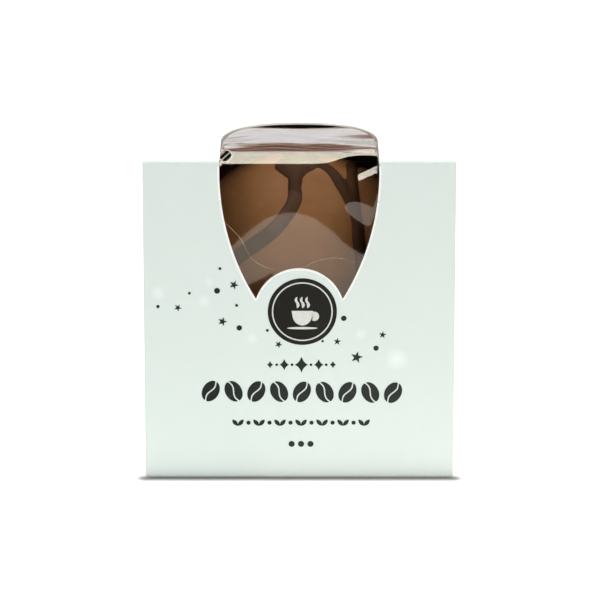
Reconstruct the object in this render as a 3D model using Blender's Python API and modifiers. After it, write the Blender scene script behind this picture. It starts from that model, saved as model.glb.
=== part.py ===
"""Hot chocolate ball in its windowed folding carton.

One carton of thin board, creased into a tube of front, top, back and bottom panels
and closed at both sides by tucked panels over dust flaps. Its window runs from the
front panel over the top crease, and a clear film is glued behind it. The ball of
milk chocolate stands on the bottom panel, with lines of dark chocolate over its top.

Metres, +Z up, the window faces -Y. The origin is the centre of the base.
"""

import math

import bmesh
import bpy
from mathutils import Matrix, Vector

MM = 0.001

# Carton
WIDTH = 72 * MM
DEPTH = 72 * MM
HEIGHT = 76 * MM
BOARD = 0.5 * MM
CREASE_RADIUS = 0.9 * MM
CREASE_STEPS = 3
GAP = 0.3 * MM

# Side closures: a panel creased to the back, its tuck behind the front, two dust flaps
TUCK_LENGTH = 8.5 * MM
TUCK_INSET = 1.6 * MM
DUST_LENGTH = 25 * MM
DUST_INSET = 2.5 * MM
DUST_TAPER = 5 * MM
FUSE = 0.1 * MM

# Window: upright sides below the crease, then arcs that meet the round tab in two cusps
WINDOW_HALF_WIDTH = 18.35 * MM
WINDOW_UPRIGHT = 3 * MM
WINDOW_SIDE_RADIUS = 58 * MM
TAB_RADIUS = 10.5 * MM
TAB_CENTRE_DROP = 36.1 * MM
# On the top panel: straight sides and a full round end
WINDOW_TOP_STRAIGHT = 19.5 * MM
WINDOW_TOP_END = 19 * MM
WINDOW_END_FULLNESS = 2.3
CUTTER_PAST = 2 * MM
ARC_STEPS = 14

# Film
FILM = 0.3 * MM
FILM_MARGIN = 6 * MM
FILM_BEND_RADIUS = 2 * MM
FILM_BEND_STEPS = 8

# Ball
BALL_RADIUS = 34 * MM
BALL_SEGMENTS = 72
BALL_RINGS = 36
LINE_RADIUS = 2.7 * MM
LINE_SUNK = 2 * MM
LINE_POINT_EVERY = 2.6 * MM
LINE_END_RADII = (0.72, 0.82, 0.93)
POOL_RADIUS = 5.6 * MM
POOL_HEIGHT = 0.8 * MM
POOL_LEAN = 11

# Dark chocolate lines as (degrees round from the front towards +X, degrees down from
# the top), in the order in which they were poured
LINE_ROUTES = (
    (
        (-158, 66), (-163, 46), (178, 26), (110, 6), (-2, 12),
        (-4, 24), (-4, 36), (-14, 50), (-32, 65), (-43, 75),
    ),
    ((-170, 12), (-60, 3), (43, 17), (36, 31), (34, 44), (30, 55), (28, 65), (28, 77)),
    ((152, 70), (142, 50), (118, 31), (90, 22), (61, 25), (45, 32), (35, 42)),
    (
        (-62, 76), (-74, 57), (-83, 41), (-98, 30), (-128, 22),
        (170, 19), (150, 34), (163, 56), (168, 72),
    ),
    ((60, 77), (72, 57), (88, 40), (118, 52), (110, 72)),
    ((-100, 75), (-112, 55), (-132, 42), (-122, 66)),
)

CARTON_COLOUR = (0.73, 0.81, 0.765, 1.0)
FILM_COLOUR = (0.92, 0.93, 0.92, 1.0)
BALL_COLOUR = (0.19, 0.092, 0.04, 1.0)


def clear_scene():
    """Remove every object that the scene holds."""
    for item in list(bpy.data.objects):
        bpy.data.objects.remove(item, do_unlink=True)


def new_collection(name):
    """Return a new collection linked to the scene."""
    group = bpy.data.collections.new(name)
    bpy.context.scene.collection.children.link(group)
    return group


def new_material(name, colour, roughness, alpha=1.0):
    """Return a Principled material."""
    material = bpy.data.materials.new(name)
    material.use_nodes = True
    shader = material.node_tree.nodes["Principled BSDF"]
    shader.inputs["Base Color"].default_value = colour
    shader.inputs["Roughness"].default_value = roughness
    shader.inputs["Metallic"].default_value = 0.0
    shader.inputs["Alpha"].default_value = alpha
    return material


def place(name, mesh, group):
    """Return a new object that shows the mesh, in a collection."""
    item = bpy.data.objects.new(name, mesh)
    group.objects.link(item)
    return item


def place_bmesh(name, shape, group):
    """Return a new object made of a bmesh, which is freed."""
    mesh = bpy.data.meshes.new(name)
    shape.to_mesh(mesh)
    shape.free()
    return place(name, mesh, group)


def mark_cutter(item):
    """Show a cutter as wire and keep it out of renders."""
    item.hide_render = True
    item.display_type = "WIRE"


def settle(item):
    """Give an object its evaluated mesh and drop its modifiers."""
    graph = bpy.context.evaluated_depsgraph_get()
    mesh = bpy.data.meshes.new_from_object(item.evaluated_get(graph))
    item.modifiers.clear()
    item.data = mesh


def box(name, low, high, group):
    """Return a box between two corners."""
    low = Vector(low)
    high = Vector(high)
    shape = bmesh.new()
    bmesh.ops.create_cube(shape, size=1.0)
    bmesh.ops.scale(shape, vec=high - low, verts=shape.verts)
    bmesh.ops.translate(shape, vec=(low + high) / 2, verts=shape.verts)
    return place_bmesh(name, shape, group)


def plate(name, outline, thickness, frame, group):
    """Return a flat plate with the outline in its local XY plane, centred on that plane."""
    curve = bpy.data.curves.new(name, "CURVE")
    curve.dimensions = "2D"
    curve.fill_mode = "BOTH"
    curve.extrude = thickness / 2
    spline = curve.splines.new("POLY")
    spline.points.add(len(outline) - 1)
    for point, (across, along) in zip(spline.points, outline):
        point.co = (across, along, 0.0, 1.0)
    spline.use_cyclic_u = True
    return curve_to_mesh(name, curve, frame, group)


def curve_to_mesh(name, curve, frame, group):
    """Return the curve as a closed mesh object with its place in the mesh."""
    guide = place(name + "_guide", curve, group)
    graph = bpy.context.evaluated_depsgraph_get()
    mesh = bpy.data.meshes.new_from_object(guide.evaluated_get(graph))
    bpy.data.objects.remove(guide, do_unlink=True)
    shape = bmesh.new()
    shape.from_mesh(mesh)
    bmesh.ops.remove_doubles(shape, verts=shape.verts, dist=0.001 * MM)
    bmesh.ops.transform(shape, matrix=frame, verts=shape.verts)
    bmesh.ops.recalc_face_normals(shape, faces=shape.faces)
    bpy.data.meshes.remove(mesh)
    return place_bmesh(name, shape, group)


def combine(item, operation, group):
    """Apply one Boolean of an object with a collection, whose objects are then removed."""
    modifier = item.modifiers.new(operation.lower(), "BOOLEAN")
    modifier.operation = operation
    modifier.operand_type = "COLLECTION"
    modifier.collection = group
    modifier.solver = "EXACT"
    settle(item)
    for other in list(group.objects):
        bpy.data.objects.remove(other, do_unlink=True)


def side_drop(across):
    """Return how far below the crease the window's side arc reaches a half width."""
    inward = WINDOW_HALF_WIDTH - across
    run = math.sqrt(WINDOW_SIDE_RADIUS**2 - (WINDOW_SIDE_RADIUS - inward) ** 2)
    return WINDOW_UPRIGHT + run


def tab_drop(across):
    """Return how far below the crease the tab's round edge is at a half width."""
    return TAB_CENTRE_DROP - math.sqrt(TAB_RADIUS**2 - across**2)


def cusp_half_width():
    """Return the half width at which the side arc meets the tab's edge."""
    low = 0.0
    high = TAB_RADIUS
    for _ in range(40):
        middle = (low + high) / 2
        if side_drop(middle) > tab_drop(middle):
            low = middle
        else:
            high = middle
    return low


def front_window_outline():
    """Return the window's outline on the front panel as (x, z), past the top crease."""
    cusp = cusp_half_width()
    half = [(WINDOW_HALF_WIDTH, HEIGHT + CUTTER_PAST)]
    top_angle = math.acos((WINDOW_SIDE_RADIUS - WINDOW_HALF_WIDTH + cusp) / WINDOW_SIDE_RADIUS)
    for step in range(ARC_STEPS + 1):
        angle = top_angle * step / ARC_STEPS
        across = WINDOW_HALF_WIDTH - WINDOW_SIDE_RADIUS * (1 - math.cos(angle))
        half.append((across, HEIGHT - WINDOW_UPRIGHT - WINDOW_SIDE_RADIUS * math.sin(angle)))
    tab_angle = math.asin(cusp / TAB_RADIUS)
    for step in range(1, ARC_STEPS):
        angle = tab_angle * (1 - step / ARC_STEPS)
        drop = TAB_CENTRE_DROP - TAB_RADIUS * math.cos(angle)
        half.append((TAB_RADIUS * math.sin(angle), HEIGHT - drop))
    apex = (0.0, HEIGHT - TAB_CENTRE_DROP + TAB_RADIUS)
    return half + [apex] + [(-across, up) for across, up in reversed(half)]


def top_window_outline():
    """Return the window's outline on the top panel as (x, y), past the front crease."""
    crease = -DEPTH / 2
    half = [(WINDOW_HALF_WIDTH, crease - CUTTER_PAST)]
    power = 2 / WINDOW_END_FULLNESS
    for step in range(ARC_STEPS):
        angle = math.pi / 2 * step / ARC_STEPS
        across = WINDOW_HALF_WIDTH * math.cos(angle) ** power
        along = WINDOW_TOP_STRAIGHT + WINDOW_TOP_END * math.sin(angle) ** power
        half.append((across, crease + along))
    apex = (0.0, crease + WINDOW_TOP_STRAIGHT + WINDOW_TOP_END)
    return half + [apex] + [(-across, along) for across, along in reversed(half)]


def carton_shell(group):
    """Return the closed box of board, rounded at the creases and sharp at its cut rims."""
    shape = bmesh.new()
    bmesh.ops.create_cube(shape, size=1.0)
    bmesh.ops.scale(shape, vec=(WIDTH, DEPTH, HEIGHT), verts=shape.verts)
    bmesh.ops.translate(shape, vec=(0.0, 0.0, HEIGHT / 2), verts=shape.verts)
    creases = []
    for edge in shape.edges:
        start = edge.verts[0].co
        end = edge.verts[1].co
        tube_crease = abs(start.x - end.x) > BOARD
        hinge_crease = abs(start.z - end.z) > BOARD and start.y > 0
        if tube_crease or hinge_crease:
            creases.append(edge)
    bmesh.ops.bevel(
        shape,
        geom=creases,
        offset=CREASE_RADIUS,
        offset_type="OFFSET",
        segments=CREASE_STEPS,
        profile=0.5,
        affect="EDGES",
    )
    carton = place_bmesh("carton", shape, group)
    wall = carton.modifiers.new("board", "SOLIDIFY")
    wall.thickness = BOARD
    wall.offset = -1.0
    wall.use_even_offset = True
    settle(carton)
    return carton


def window_cutters(group):
    """Cut the window through the front panel, the crease and the top panel."""
    upright = Matrix.Translation((0.0, -DEPTH / 2, 0.0)) @ Matrix.Rotation(math.pi / 2, 4, "X")
    level = Matrix.Translation((0.0, 0.0, HEIGHT))
    through = 2 * (BOARD + CREASE_RADIUS)
    mark_cutter(plate("front_window_cutter", front_window_outline(), through, upright, group))
    mark_cutter(plate("top_window_cutter", top_window_outline(), through, level, group))


def closure_cutters(side, group):
    """Cut one side panel free from the front, top and bottom panels."""
    inner = WIDTH / 2 - BOARD - GAP / 2
    outer = WIDTH / 2 + CUTTER_PAST
    front = -DEPTH / 2 + BOARD
    back = DEPTH / 2 - CREASE_RADIUS
    bottom = BOARD
    top = HEIGHT - BOARD
    slits = {
        "front": ((front, bottom), (front + GAP, top)),
        "top": ((front, top - GAP), (back, top)),
        "bottom": ((front, bottom), (back, bottom + GAP)),
    }
    for name, (low, high) in slits.items():
        near = min(side * inner, side * outer)
        far = max(side * inner, side * outer)
        cutter = box(f"{name}_slit_cutter", (near, *low), (far, *high), group)
        mark_cutter(cutter)


def tuck(side, group):
    """Add the tuck that holds one side panel behind the front panel."""
    front = -DEPTH / 2 + BOARD + GAP
    outer = WIDTH / 2 - BOARD + FUSE
    inner = outer - TUCK_LENGTH
    near = min(side * inner, side * outer)
    far = max(side * inner, side * outer)
    bottom = BOARD + TUCK_INSET
    top = HEIGHT - BOARD - TUCK_INSET
    box("tuck", (near, front, bottom), (far, front + BOARD, top), group)


def dust_flap(side, upper, group):
    """Add a tapered flap that hangs from the top panel or stands on the bottom panel."""
    half = DEPTH / 2 - BOARD - DUST_INSET
    outline = (
        (-half, 0.0),
        (half, 0.0),
        (half - DUST_TAPER, DUST_LENGTH),
        (-half + DUST_TAPER, DUST_LENGTH),
    )
    root = HEIGHT - BOARD + FUSE if upper else BOARD - FUSE
    way = -1 if upper else 1
    across = side * (WIDTH / 2 - 1.5 * BOARD - GAP)
    frame = Matrix(
        (
            (0.0, 0.0, 1.0, across),
            (1.0, 0.0, 0.0, 0.0),
            (0.0, way, 0.0, root),
            (0.0, 0.0, 0.0, 1.0),
        )
    )
    plate("dust_flap", outline, BOARD, frame, group)


def make_carton(group, cutters):
    """Return the carton with its window, side panels, tucks and dust flaps."""
    carton = carton_shell(group)
    window_cutters(cutters)
    for side in (-1, 1):
        closure_cutters(side, cutters)
    combine(carton, "DIFFERENCE", cutters)
    for side in (-1, 1):
        tuck(side, cutters)
        dust_flap(side, True, cutters)
        dust_flap(side, False, cutters)
    combine(carton, "UNION", cutters)
    carton.data.materials.clear()
    carton.data.materials.append(new_material("mint_board", CARTON_COLOUR, 0.45))
    return carton


def film_path():
    """Return the film's section as (y, z), from below the cusps to behind the window's end."""
    inset = BOARD + GAP
    front = -DEPTH / 2 + inset
    top = HEIGHT - inset
    cusp_drop = tab_drop(cusp_half_width())
    path = [(front, HEIGHT - cusp_drop - FILM_MARGIN)]
    for step in range(FILM_BEND_STEPS + 1):
        angle = math.pi / 2 * step / FILM_BEND_STEPS
        along = front + FILM_BEND_RADIUS * (1 - math.cos(angle))
        up = top - FILM_BEND_RADIUS * (1 - math.sin(angle))
        path.append((along, up))
    path.append((-DEPTH / 2 + WINDOW_TOP_STRAIGHT + WINDOW_TOP_END + FILM_MARGIN, top))
    return path


def make_film(group):
    """Return the clear film, bent once behind the window's crease."""
    half = WINDOW_HALF_WIDTH + FILM_MARGIN
    shape = bmesh.new()
    first = [shape.verts.new((half, along, up)) for along, up in film_path()]
    rail = [shape.edges.new(pair) for pair in zip(first, first[1:])]
    swept = bmesh.ops.extrude_edge_only(shape, edges=rail)
    moved = [part for part in swept["geom"] if isinstance(part, bmesh.types.BMVert)]
    bmesh.ops.translate(shape, vec=(-2 * half, 0.0, 0.0), verts=moved)
    bmesh.ops.recalc_face_normals(shape, faces=shape.faces)
    shape.faces.ensure_lookup_table()
    if shape.faces[0].normal.y > 0:
        bmesh.ops.reverse_faces(shape, faces=shape.faces)
    film = place_bmesh("window_film", shape, group)
    film.data.materials.append(new_material("clear_film", FILM_COLOUR, 0.08, 0.3))
    sheet = film.modifiers.new("sheet", "SOLIDIFY")
    sheet.thickness = FILM
    sheet.offset = -1.0
    return film


def on_ball(round_angle, down_angle):
    """Return the outward direction at an angle round from the front and down from the top."""
    turn = math.radians(round_angle)
    fall = math.radians(down_angle)
    return Vector((math.sin(fall) * math.sin(turn), -math.sin(fall) * math.cos(turn), math.cos(fall)))


def smooth_route(route):
    """Return evenly fine directions on a smooth curve through a line's route."""
    stops = [on_ball(*angles) for angles in route]
    knots = [2 * stops[0] - stops[1]] + stops + [2 * stops[-1] - stops[-2]]
    directions = []
    for before, start, end, after in zip(knots, knots[1:], knots[2:], knots[3:]):
        steps = max(2, round(BALL_RADIUS * start.angle(end) / LINE_POINT_EVERY))
        for step in range(steps):
            part = step / steps
            point = 0.5 * (
                2 * start
                + (end - before) * part
                + (2 * before - 5 * start + 4 * end - after) * part**2
                + (3 * start - before - 3 * end + after) * part**3
            )
            directions.append(point.normalized())
    return directions + [stops[-1]]


def dark_line(route, centre, group):
    """Add one poured line of dark chocolate, a low ridge whose ends run out."""
    curve = bpy.data.curves.new("dark_line", "CURVE")
    curve.dimensions = "3D"
    curve.bevel_depth = LINE_RADIUS
    curve.bevel_resolution = 4
    curve.use_fill_caps = True
    directions = smooth_route(route)
    spline = curve.splines.new("POLY")
    spline.points.add(len(directions) - 1)
    for point, direction in zip(spline.points, directions):
        where = centre + direction * (BALL_RADIUS - LINE_SUNK)
        point.co = (*where, 1.0)
    for from_end, radius in enumerate(LINE_END_RADII):
        spline.points[from_end].radius = radius
        spline.points[-1 - from_end].radius = radius
    curve_to_mesh("dark_line", curve, Matrix.Identity(4), group)


def pool(centre, group):
    """Add the flat pool where the lines cross at the top of the ball."""
    shape = bmesh.new()
    bmesh.ops.create_uvsphere(shape, u_segments=32, v_segments=16, radius=1.0)
    lean = Matrix.Rotation(math.radians(POOL_LEAN), 4, "X")
    size = Matrix.Diagonal((POOL_RADIUS, POOL_RADIUS, 2 * POOL_HEIGHT, 1.0))
    rise = Matrix.Translation((0.0, 0.0, BALL_RADIUS - POOL_HEIGHT))
    frame = Matrix.Translation(centre) @ lean @ rise @ size
    bmesh.ops.transform(shape, matrix=frame, verts=shape.verts)
    place_bmesh("pool", shape, group)


def make_ball(group, toppings):
    """Return the ball with its dark lines fused on."""
    centre = Vector((0.0, 0.0, BOARD + GAP + BALL_RADIUS))
    shape = bmesh.new()
    bmesh.ops.create_uvsphere(
        shape,
        u_segments=BALL_SEGMENTS,
        v_segments=BALL_RINGS,
        radius=BALL_RADIUS,
    )
    bmesh.ops.translate(shape, vec=centre, verts=shape.verts)
    ball = place_bmesh("chocolate_ball", shape, group)
    for route in LINE_ROUTES:
        dark_line(route, centre, toppings)
    pool(centre, toppings)
    combine(ball, "UNION", toppings)
    ball.data.materials.clear()
    ball.data.materials.append(new_material("milk_chocolate", BALL_COLOUR, 0.4))
    ball.data.shade_smooth()
    ball.data.set_sharp_from_angle(angle=math.radians(35))
    return ball


def main():
    """Build the part."""
    clear_scene()
    part = new_collection("boxed_chocolate_ball")
    cutters = new_collection("cutters")
    make_carton(part, cutters)
    make_film(part)
    make_ball(part, cutters)


main()
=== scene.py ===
"""Looks of a chocolate ball in its windowed carton.

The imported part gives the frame: a carton, the film behind its window and the ball in
it. Here the carton becomes a folded blank of coated board with cut edges and raised
print, the film a creased sheet that mirrors the studio, and the ball milk chocolate
with poured dark lines.

Metres, +Z up, the window faces -Y. Small sizes are written as millimetres times MM.
"""

import logging
import math
from dataclasses import dataclass, field
from enum import Enum
from typing import Any, Callable, Iterable, Optional, Sequence, Union

import bmesh
import bpy
import numpy as np
from bpy.types import Material, Mesh, Node, NodeSocket, NodeTree, Object
from mathutils import Matrix, Vector
from mathutils.geometry import delaunay_2d_cdt


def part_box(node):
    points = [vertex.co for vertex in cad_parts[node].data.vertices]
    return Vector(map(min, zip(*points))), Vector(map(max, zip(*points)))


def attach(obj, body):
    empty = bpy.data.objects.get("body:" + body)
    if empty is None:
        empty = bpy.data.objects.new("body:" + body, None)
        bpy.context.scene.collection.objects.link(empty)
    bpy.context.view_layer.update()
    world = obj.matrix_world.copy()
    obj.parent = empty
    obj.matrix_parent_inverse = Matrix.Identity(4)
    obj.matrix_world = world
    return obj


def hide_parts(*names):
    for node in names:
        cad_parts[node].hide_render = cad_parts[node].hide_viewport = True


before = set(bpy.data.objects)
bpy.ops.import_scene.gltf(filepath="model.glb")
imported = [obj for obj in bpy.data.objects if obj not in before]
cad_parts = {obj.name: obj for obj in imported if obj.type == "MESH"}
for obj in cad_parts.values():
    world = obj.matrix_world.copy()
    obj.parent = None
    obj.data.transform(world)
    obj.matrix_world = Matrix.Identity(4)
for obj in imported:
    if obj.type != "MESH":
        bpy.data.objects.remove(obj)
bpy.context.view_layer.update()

LOG = logging.getLogger("boxed_chocolate_ball")
MM = 0.001
BODY = "root"
QUARTER = math.pi / 2

Colour = tuple[float, float, float, float]
Pair = tuple[float, float]
Place = tuple[float, float, float]


def grey(level: float) -> Colour:
    """Return an opaque grey."""
    return (level, level, level, 1.0)


def smooth_step(low: float, high: float, value: Any) -> Any:
    """Return a smooth rise from 0 at low to 1 at high, for a number or an array."""
    share = np.clip((value - low) / (high - low), 0.0, 1.0)
    return share * share * (3 - 2 * share)


# Node trees


def by_node(operation: str, swapped: bool = False) -> Callable[..., "Value"]:
    """Make a method that adds a Math node.

    Args:
        operation: the node's operation.
        swapped: True for an operator's reflected form, where self comes last.

    Returns:
        The method.
    """

    def method(self: "Value", *others: Any) -> "Value":
        """Return the node's result."""
        return self.graph.math(operation, *((*others, self) if swapped else (self, *others)))

    return method


class Value:
    """A number socket of a node tree. Python operators on it add Math nodes."""

    def __init__(self, graph: "Graph", socket: NodeSocket) -> None:
        """Keep the socket and the graph that new nodes join."""
        self.graph = graph
        self.socket = socket

    __add__ = by_node("ADD")
    __radd__ = by_node("ADD", swapped=True)
    __sub__ = by_node("SUBTRACT")
    __rsub__ = by_node("SUBTRACT", swapped=True)
    __mul__ = by_node("MULTIPLY")
    __rmul__ = by_node("MULTIPLY", swapped=True)
    __truediv__ = by_node("DIVIDE")
    __rtruediv__ = by_node("DIVIDE", swapped=True)
    __pow__ = by_node("POWER")
    __rpow__ = by_node("POWER", swapped=True)
    least = by_node("MINIMUM")
    most = by_node("MAXIMUM")
    below = by_node("LESS_THAN")

    def __neg__(self) -> "Value":
        """Return self with its sign turned."""
        return self * -1.0

    def rise(self, low: float, high: float) -> "Value":
        """Return a smooth rise from 0 at low to 1 at high."""
        share = ((self - low) / (high - low)).most(0.0).least(1.0)
        return share * share * (3.0 - 2.0 * share)


class Graph:
    """Adds nodes to a tree."""

    def __init__(self, tree: NodeTree) -> None:
        """Keep the tree."""
        self.tree = tree

    def node(
        self,
        kind: str,
        settings: Optional[dict[str, Any]] = None,
        inputs: Optional[dict[Union[str, int], Any]] = None,
    ) -> Node:
        """Add a node.

        Args:
            kind: the node's type name.
            settings: its properties, set first.
            inputs: values or links by socket name or number.

        Returns:
            The new node.
        """
        made = self.tree.nodes.new(kind)
        for name, setting in (settings or {}).items():
            setattr(made, name, setting)
        for key, given in (inputs or {}).items():
            self.feed(made.inputs[key], given)
        return made

    def feed(self, socket: NodeSocket, given: Any) -> None:
        """Link a value or a socket to an input, or set the input's own value.

        Args:
            socket: the input.
            given: a Value, an output socket, a node for its first output, or a plain
                number, colour or vector.
        """
        if isinstance(given, Value):
            given = given.socket
        elif isinstance(given, Node):
            given = given.outputs[0]
        if isinstance(given, NodeSocket):
            self.tree.links.new(given, socket)
        else:
            socket.default_value = given

    def value(self, source: Union[Node, NodeSocket]) -> Value:
        """Return a socket, or a node's first output, as a number for expressions."""
        return Value(self, source.outputs[0] if isinstance(source, Node) else source)

    def math(self, operation: str, *terms: Any) -> Value:
        """Return the result of a Math node on the given terms."""
        return self.value(self.node("ShaderNodeMath", {"operation": operation}, dict(enumerate(terms))))

    def axes(self, vector: NodeSocket) -> tuple[Value, Value, Value]:
        """Return a vector's three parts."""
        parts = self.node("ShaderNodeSeparateXYZ", inputs={0: vector}).outputs
        return self.value(parts[0]), self.value(parts[1]), self.value(parts[2])

    def distance(self, vector: Any, other: Any) -> Value:
        """Return the distance between two points."""
        settings = {"operation": "DISTANCE"}
        return self.value(self.node("ShaderNodeVectorMath", settings, {0: vector, 1: other}).outputs[1])

    def noise(self, place: Any, size: float, detail: float = 2.0, roughness: float = 0.5) -> Value:
        """Return fractal noise from 0 to 1 whose largest blotches are size metres wide."""
        inputs = {"Vector": place, "Scale": 1 / size, "Detail": detail, "Roughness": roughness}
        return self.value(self.node("ShaderNodeTexNoise", None, inputs))


class Surface(Graph):
    """Builds one material round a Principled shader."""

    def __init__(self, name: str) -> None:
        """Start a material with only its output.

        Args:
            name: the material's name.
        """
        self.material = bpy.data.materials.new(name)
        self.material.use_nodes = True
        super().__init__(self.material.node_tree)
        self.tree.nodes.clear()
        self.output = self.node("ShaderNodeOutputMaterial")
        self.place = self.node("ShaderNodeTexCoord").outputs["Object"]

    def blend(self, share: Any, first: Any, second: Any) -> NodeSocket:
        """Return a colour between two colours."""
        settings = {"data_type": "RGBA", "clamp_factor": True}
        return self.node("ShaderNodeMix", settings, {0: share, 6: first, 7: second}).outputs[2]

    def tinted(self, base: Any, strength: Value) -> Node:
        """Return a colour times a number."""
        return self.node("ShaderNodeVectorMath", {"operation": "SCALE"}, {0: base, "Scale": strength})

    def mark(self, name: str) -> Value:
        """Return a mesh attribute as a number."""
        return self.value(self.node("ShaderNodeAttribute", {"attribute_name": name}).outputs["Fac"])

    def relief(self, height: Value, depth: float) -> Node:
        """Return a normal bent by a height from 0 to 1 that stands for a depth in metres."""
        return self.node("ShaderNodeBump", None, {"Distance": depth, "Height": height})

    def principled(self, **inputs: Any) -> Node:
        """Return a Principled shader, with sockets named by words joined with underscores."""
        named = {key.replace("_", " "): given for key, given in inputs.items()}
        return self.node("ShaderNodeBsdfPrincipled", None, named)

    def dress(self, **inputs: Any) -> Material:
        """Finish the material with one Principled shader."""
        return self.finish(self.principled(**inputs))

    def mix(self, share: Value, first: Node, second: Node) -> Node:
        """Return a shader between two shaders."""
        return self.node("ShaderNodeMixShader", None, {0: share, 1: first, 2: second})

    def finish(self, shader: Node) -> Material:
        """Link the shader to the output and return the material."""
        self.feed(self.output.inputs[0], shader)
        return self.material


class Recipe(Graph):
    """A Geometry Nodes tree with named inputs that makes one piece."""

    def __init__(self, name: str) -> None:
        """Start an empty tree with a geometry input and output.

        Args:
            name: the tree's name.
        """
        tree = bpy.data.node_groups.new(name, "GeometryNodeTree")
        tree.interface.new_socket("Geometry", in_out="OUTPUT", socket_type="NodeSocketGeometry")
        super().__init__(tree)
        self.given: dict[str, Any] = {}
        self.source = self.node("NodeGroupInput")
        self.take("Geometry", "NodeSocketGeometry", None)

    def take(self, name: str, kind: str, given: Any) -> NodeSocket:
        """Add a named input.

        Args:
            name: the input's name.
            kind: its socket type.
            given: what the modifier sets it to, or None for the geometry.

        Returns:
            The socket that carries it.
        """
        socket = self.tree.interface.new_socket(name, in_out="INPUT", socket_type=kind)
        if given is not None:
            self.given[socket.identifier] = given
        return self.source.outputs[name]

    def number(self, name: str, given: float) -> Value:
        """Add a named number input and return it for expressions."""
        return self.value(self.take(name, "NodeSocketFloat", given))

    def stored(self, name: str, kind: str = "FLOAT") -> Node:
        """Return what the mesh stores under a name."""
        return self.node("GeometryNodeInputNamedAttribute", {"data_type": kind}, {"Name": name})

    def make(
        self,
        name: str,
        geometry: Node,
        finish: Material,
        mesh: Optional[Mesh] = None,
    ) -> Object:
        """Close the tree, run it once and keep its result as a plain mesh.

        Args:
            name: the piece's name.
            geometry: the tree's last node.
            finish: the material that it gets.
            mesh: what the tree starts from, if it needs one.

        Returns:
            The new piece.
        """
        coat = self.take("Finish", "NodeSocketMaterial", finish)
        real = self.node("GeometryNodeRealizeInstances", None, {0: geometry})
        dressed = self.node("GeometryNodeSetMaterial", None, {0: real, "Material": coat})
        self.node("NodeGroupOutput", None, {0: dressed})
        piece = place_mesh(name, mesh or bpy.data.meshes.new(name))
        modifier = piece.modifiers.new("recipe", "NODES")
        modifier.node_group = self.tree
        for identifier, given in self.given.items():
            modifier[identifier] = given
        return settle(piece)


# Meshes


def place_mesh(name: str, mesh: Mesh) -> Object:
    """Show a mesh at the origin.

    Args:
        name: the object's name.
        mesh: the mesh.

    Returns:
        The new object.
    """
    item = bpy.data.objects.new(name, mesh)
    bpy.context.scene.collection.objects.link(item)
    return item


def settle(piece: Object) -> Object:
    """Give a piece its evaluated mesh and drop its modifiers.

    Args:
        piece: the piece.

    Returns:
        The same piece.
    """
    graph = bpy.context.evaluated_depsgraph_get()
    mesh = bpy.data.meshes.new_from_object(piece.evaluated_get(graph))
    piece.modifiers.clear()
    piece.data = mesh
    return piece


def mesh_from(
    name: str,
    points: Iterable[Sequence[float]],
    faces: Iterable[Sequence[int]],
    *finishes: Material,
) -> Object:
    """Return a new piece from points and faces.

    Args:
        name: the piece's name.
        points: its corners.
        faces: its faces, by corner numbers.
        finishes: its materials.

    Returns:
        The piece, at the origin.
    """
    mesh = bpy.data.meshes.new(name)
    mesh.from_pydata([tuple(point) for point in points], [], [tuple(face) for face in faces])
    for finish in finishes:
        mesh.materials.append(finish)
    mesh.update()
    return place_mesh(name, mesh)


def set_mark(mesh: Mesh, name: str, values: Sequence[float]) -> None:
    """Store one number for each corner of a mesh under a name."""
    attribute = mesh.attributes.new(name, "FLOAT", "POINT")
    attribute.data.foreach_set("value", np.asarray(values, np.float32))


def from_shape(name: str, shape: bmesh.types.BMesh, finish: Material) -> Object:
    """Return a new piece from a bmesh, which is freed.

    Args:
        name: the piece's name.
        shape: the bmesh.
        finish: its material.

    Returns:
        The piece, at the origin.
    """
    mesh = bpy.data.meshes.new(name)
    shape.to_mesh(mesh)
    shape.free()
    mesh.materials.append(finish)
    return place_mesh(name, mesh)


def outward(piece: Object) -> Object:
    """Merge a piece's doubles and point its faces outwards.

    Args:
        piece: the piece.

    Returns:
        The same piece.
    """
    shape = bmesh.new()
    shape.from_mesh(piece.data)
    bmesh.ops.remove_doubles(shape, verts=shape.verts, dist=0.0001 * MM)
    bmesh.ops.recalc_face_normals(shape, faces=shape.faces)
    shape.to_mesh(piece.data)
    shape.free()
    return piece


def ship(
    piece: Object,
    replaced: Optional[str] = None,
    sharp_from: float = 35.0,
) -> Object:
    """Shade a finished piece, tie it to the part's body and report it.

    Args:
        piece: the piece, in its place.
        replaced: the node that it stands for.
        sharp_from: the angle in degrees from which edges stay sharp.

    Returns:
        The same piece.
    """
    piece.data.shade_smooth()
    piece.data.set_sharp_from_angle(angle=math.radians(sharp_from))
    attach(piece, BODY)
    if replaced:
        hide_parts(replaced)
    LOG.info("%s: %d faces", piece.name, len(piece.data.polygons))
    return piece


# Finishes


@dataclass(frozen=True)
class Glow:
    """A soft pale spot in the front panel's print, in metres across and up."""

    across: float
    up: float
    radius: float
    strength: float

    def light(self, x: Value, z: Value) -> Value:
        """Return how strongly it shows at a place.

        Args:
            x: metres to the right.
            z: metres up.

        Returns:
            A share that fades out at its radius.
        """
        aside = (x - self.across) / self.radius
        above = (z - self.up) / self.radius
        return self.strength * (1.0 - (aside * aside + above * above)).most(0.0) ** 2.0


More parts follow.
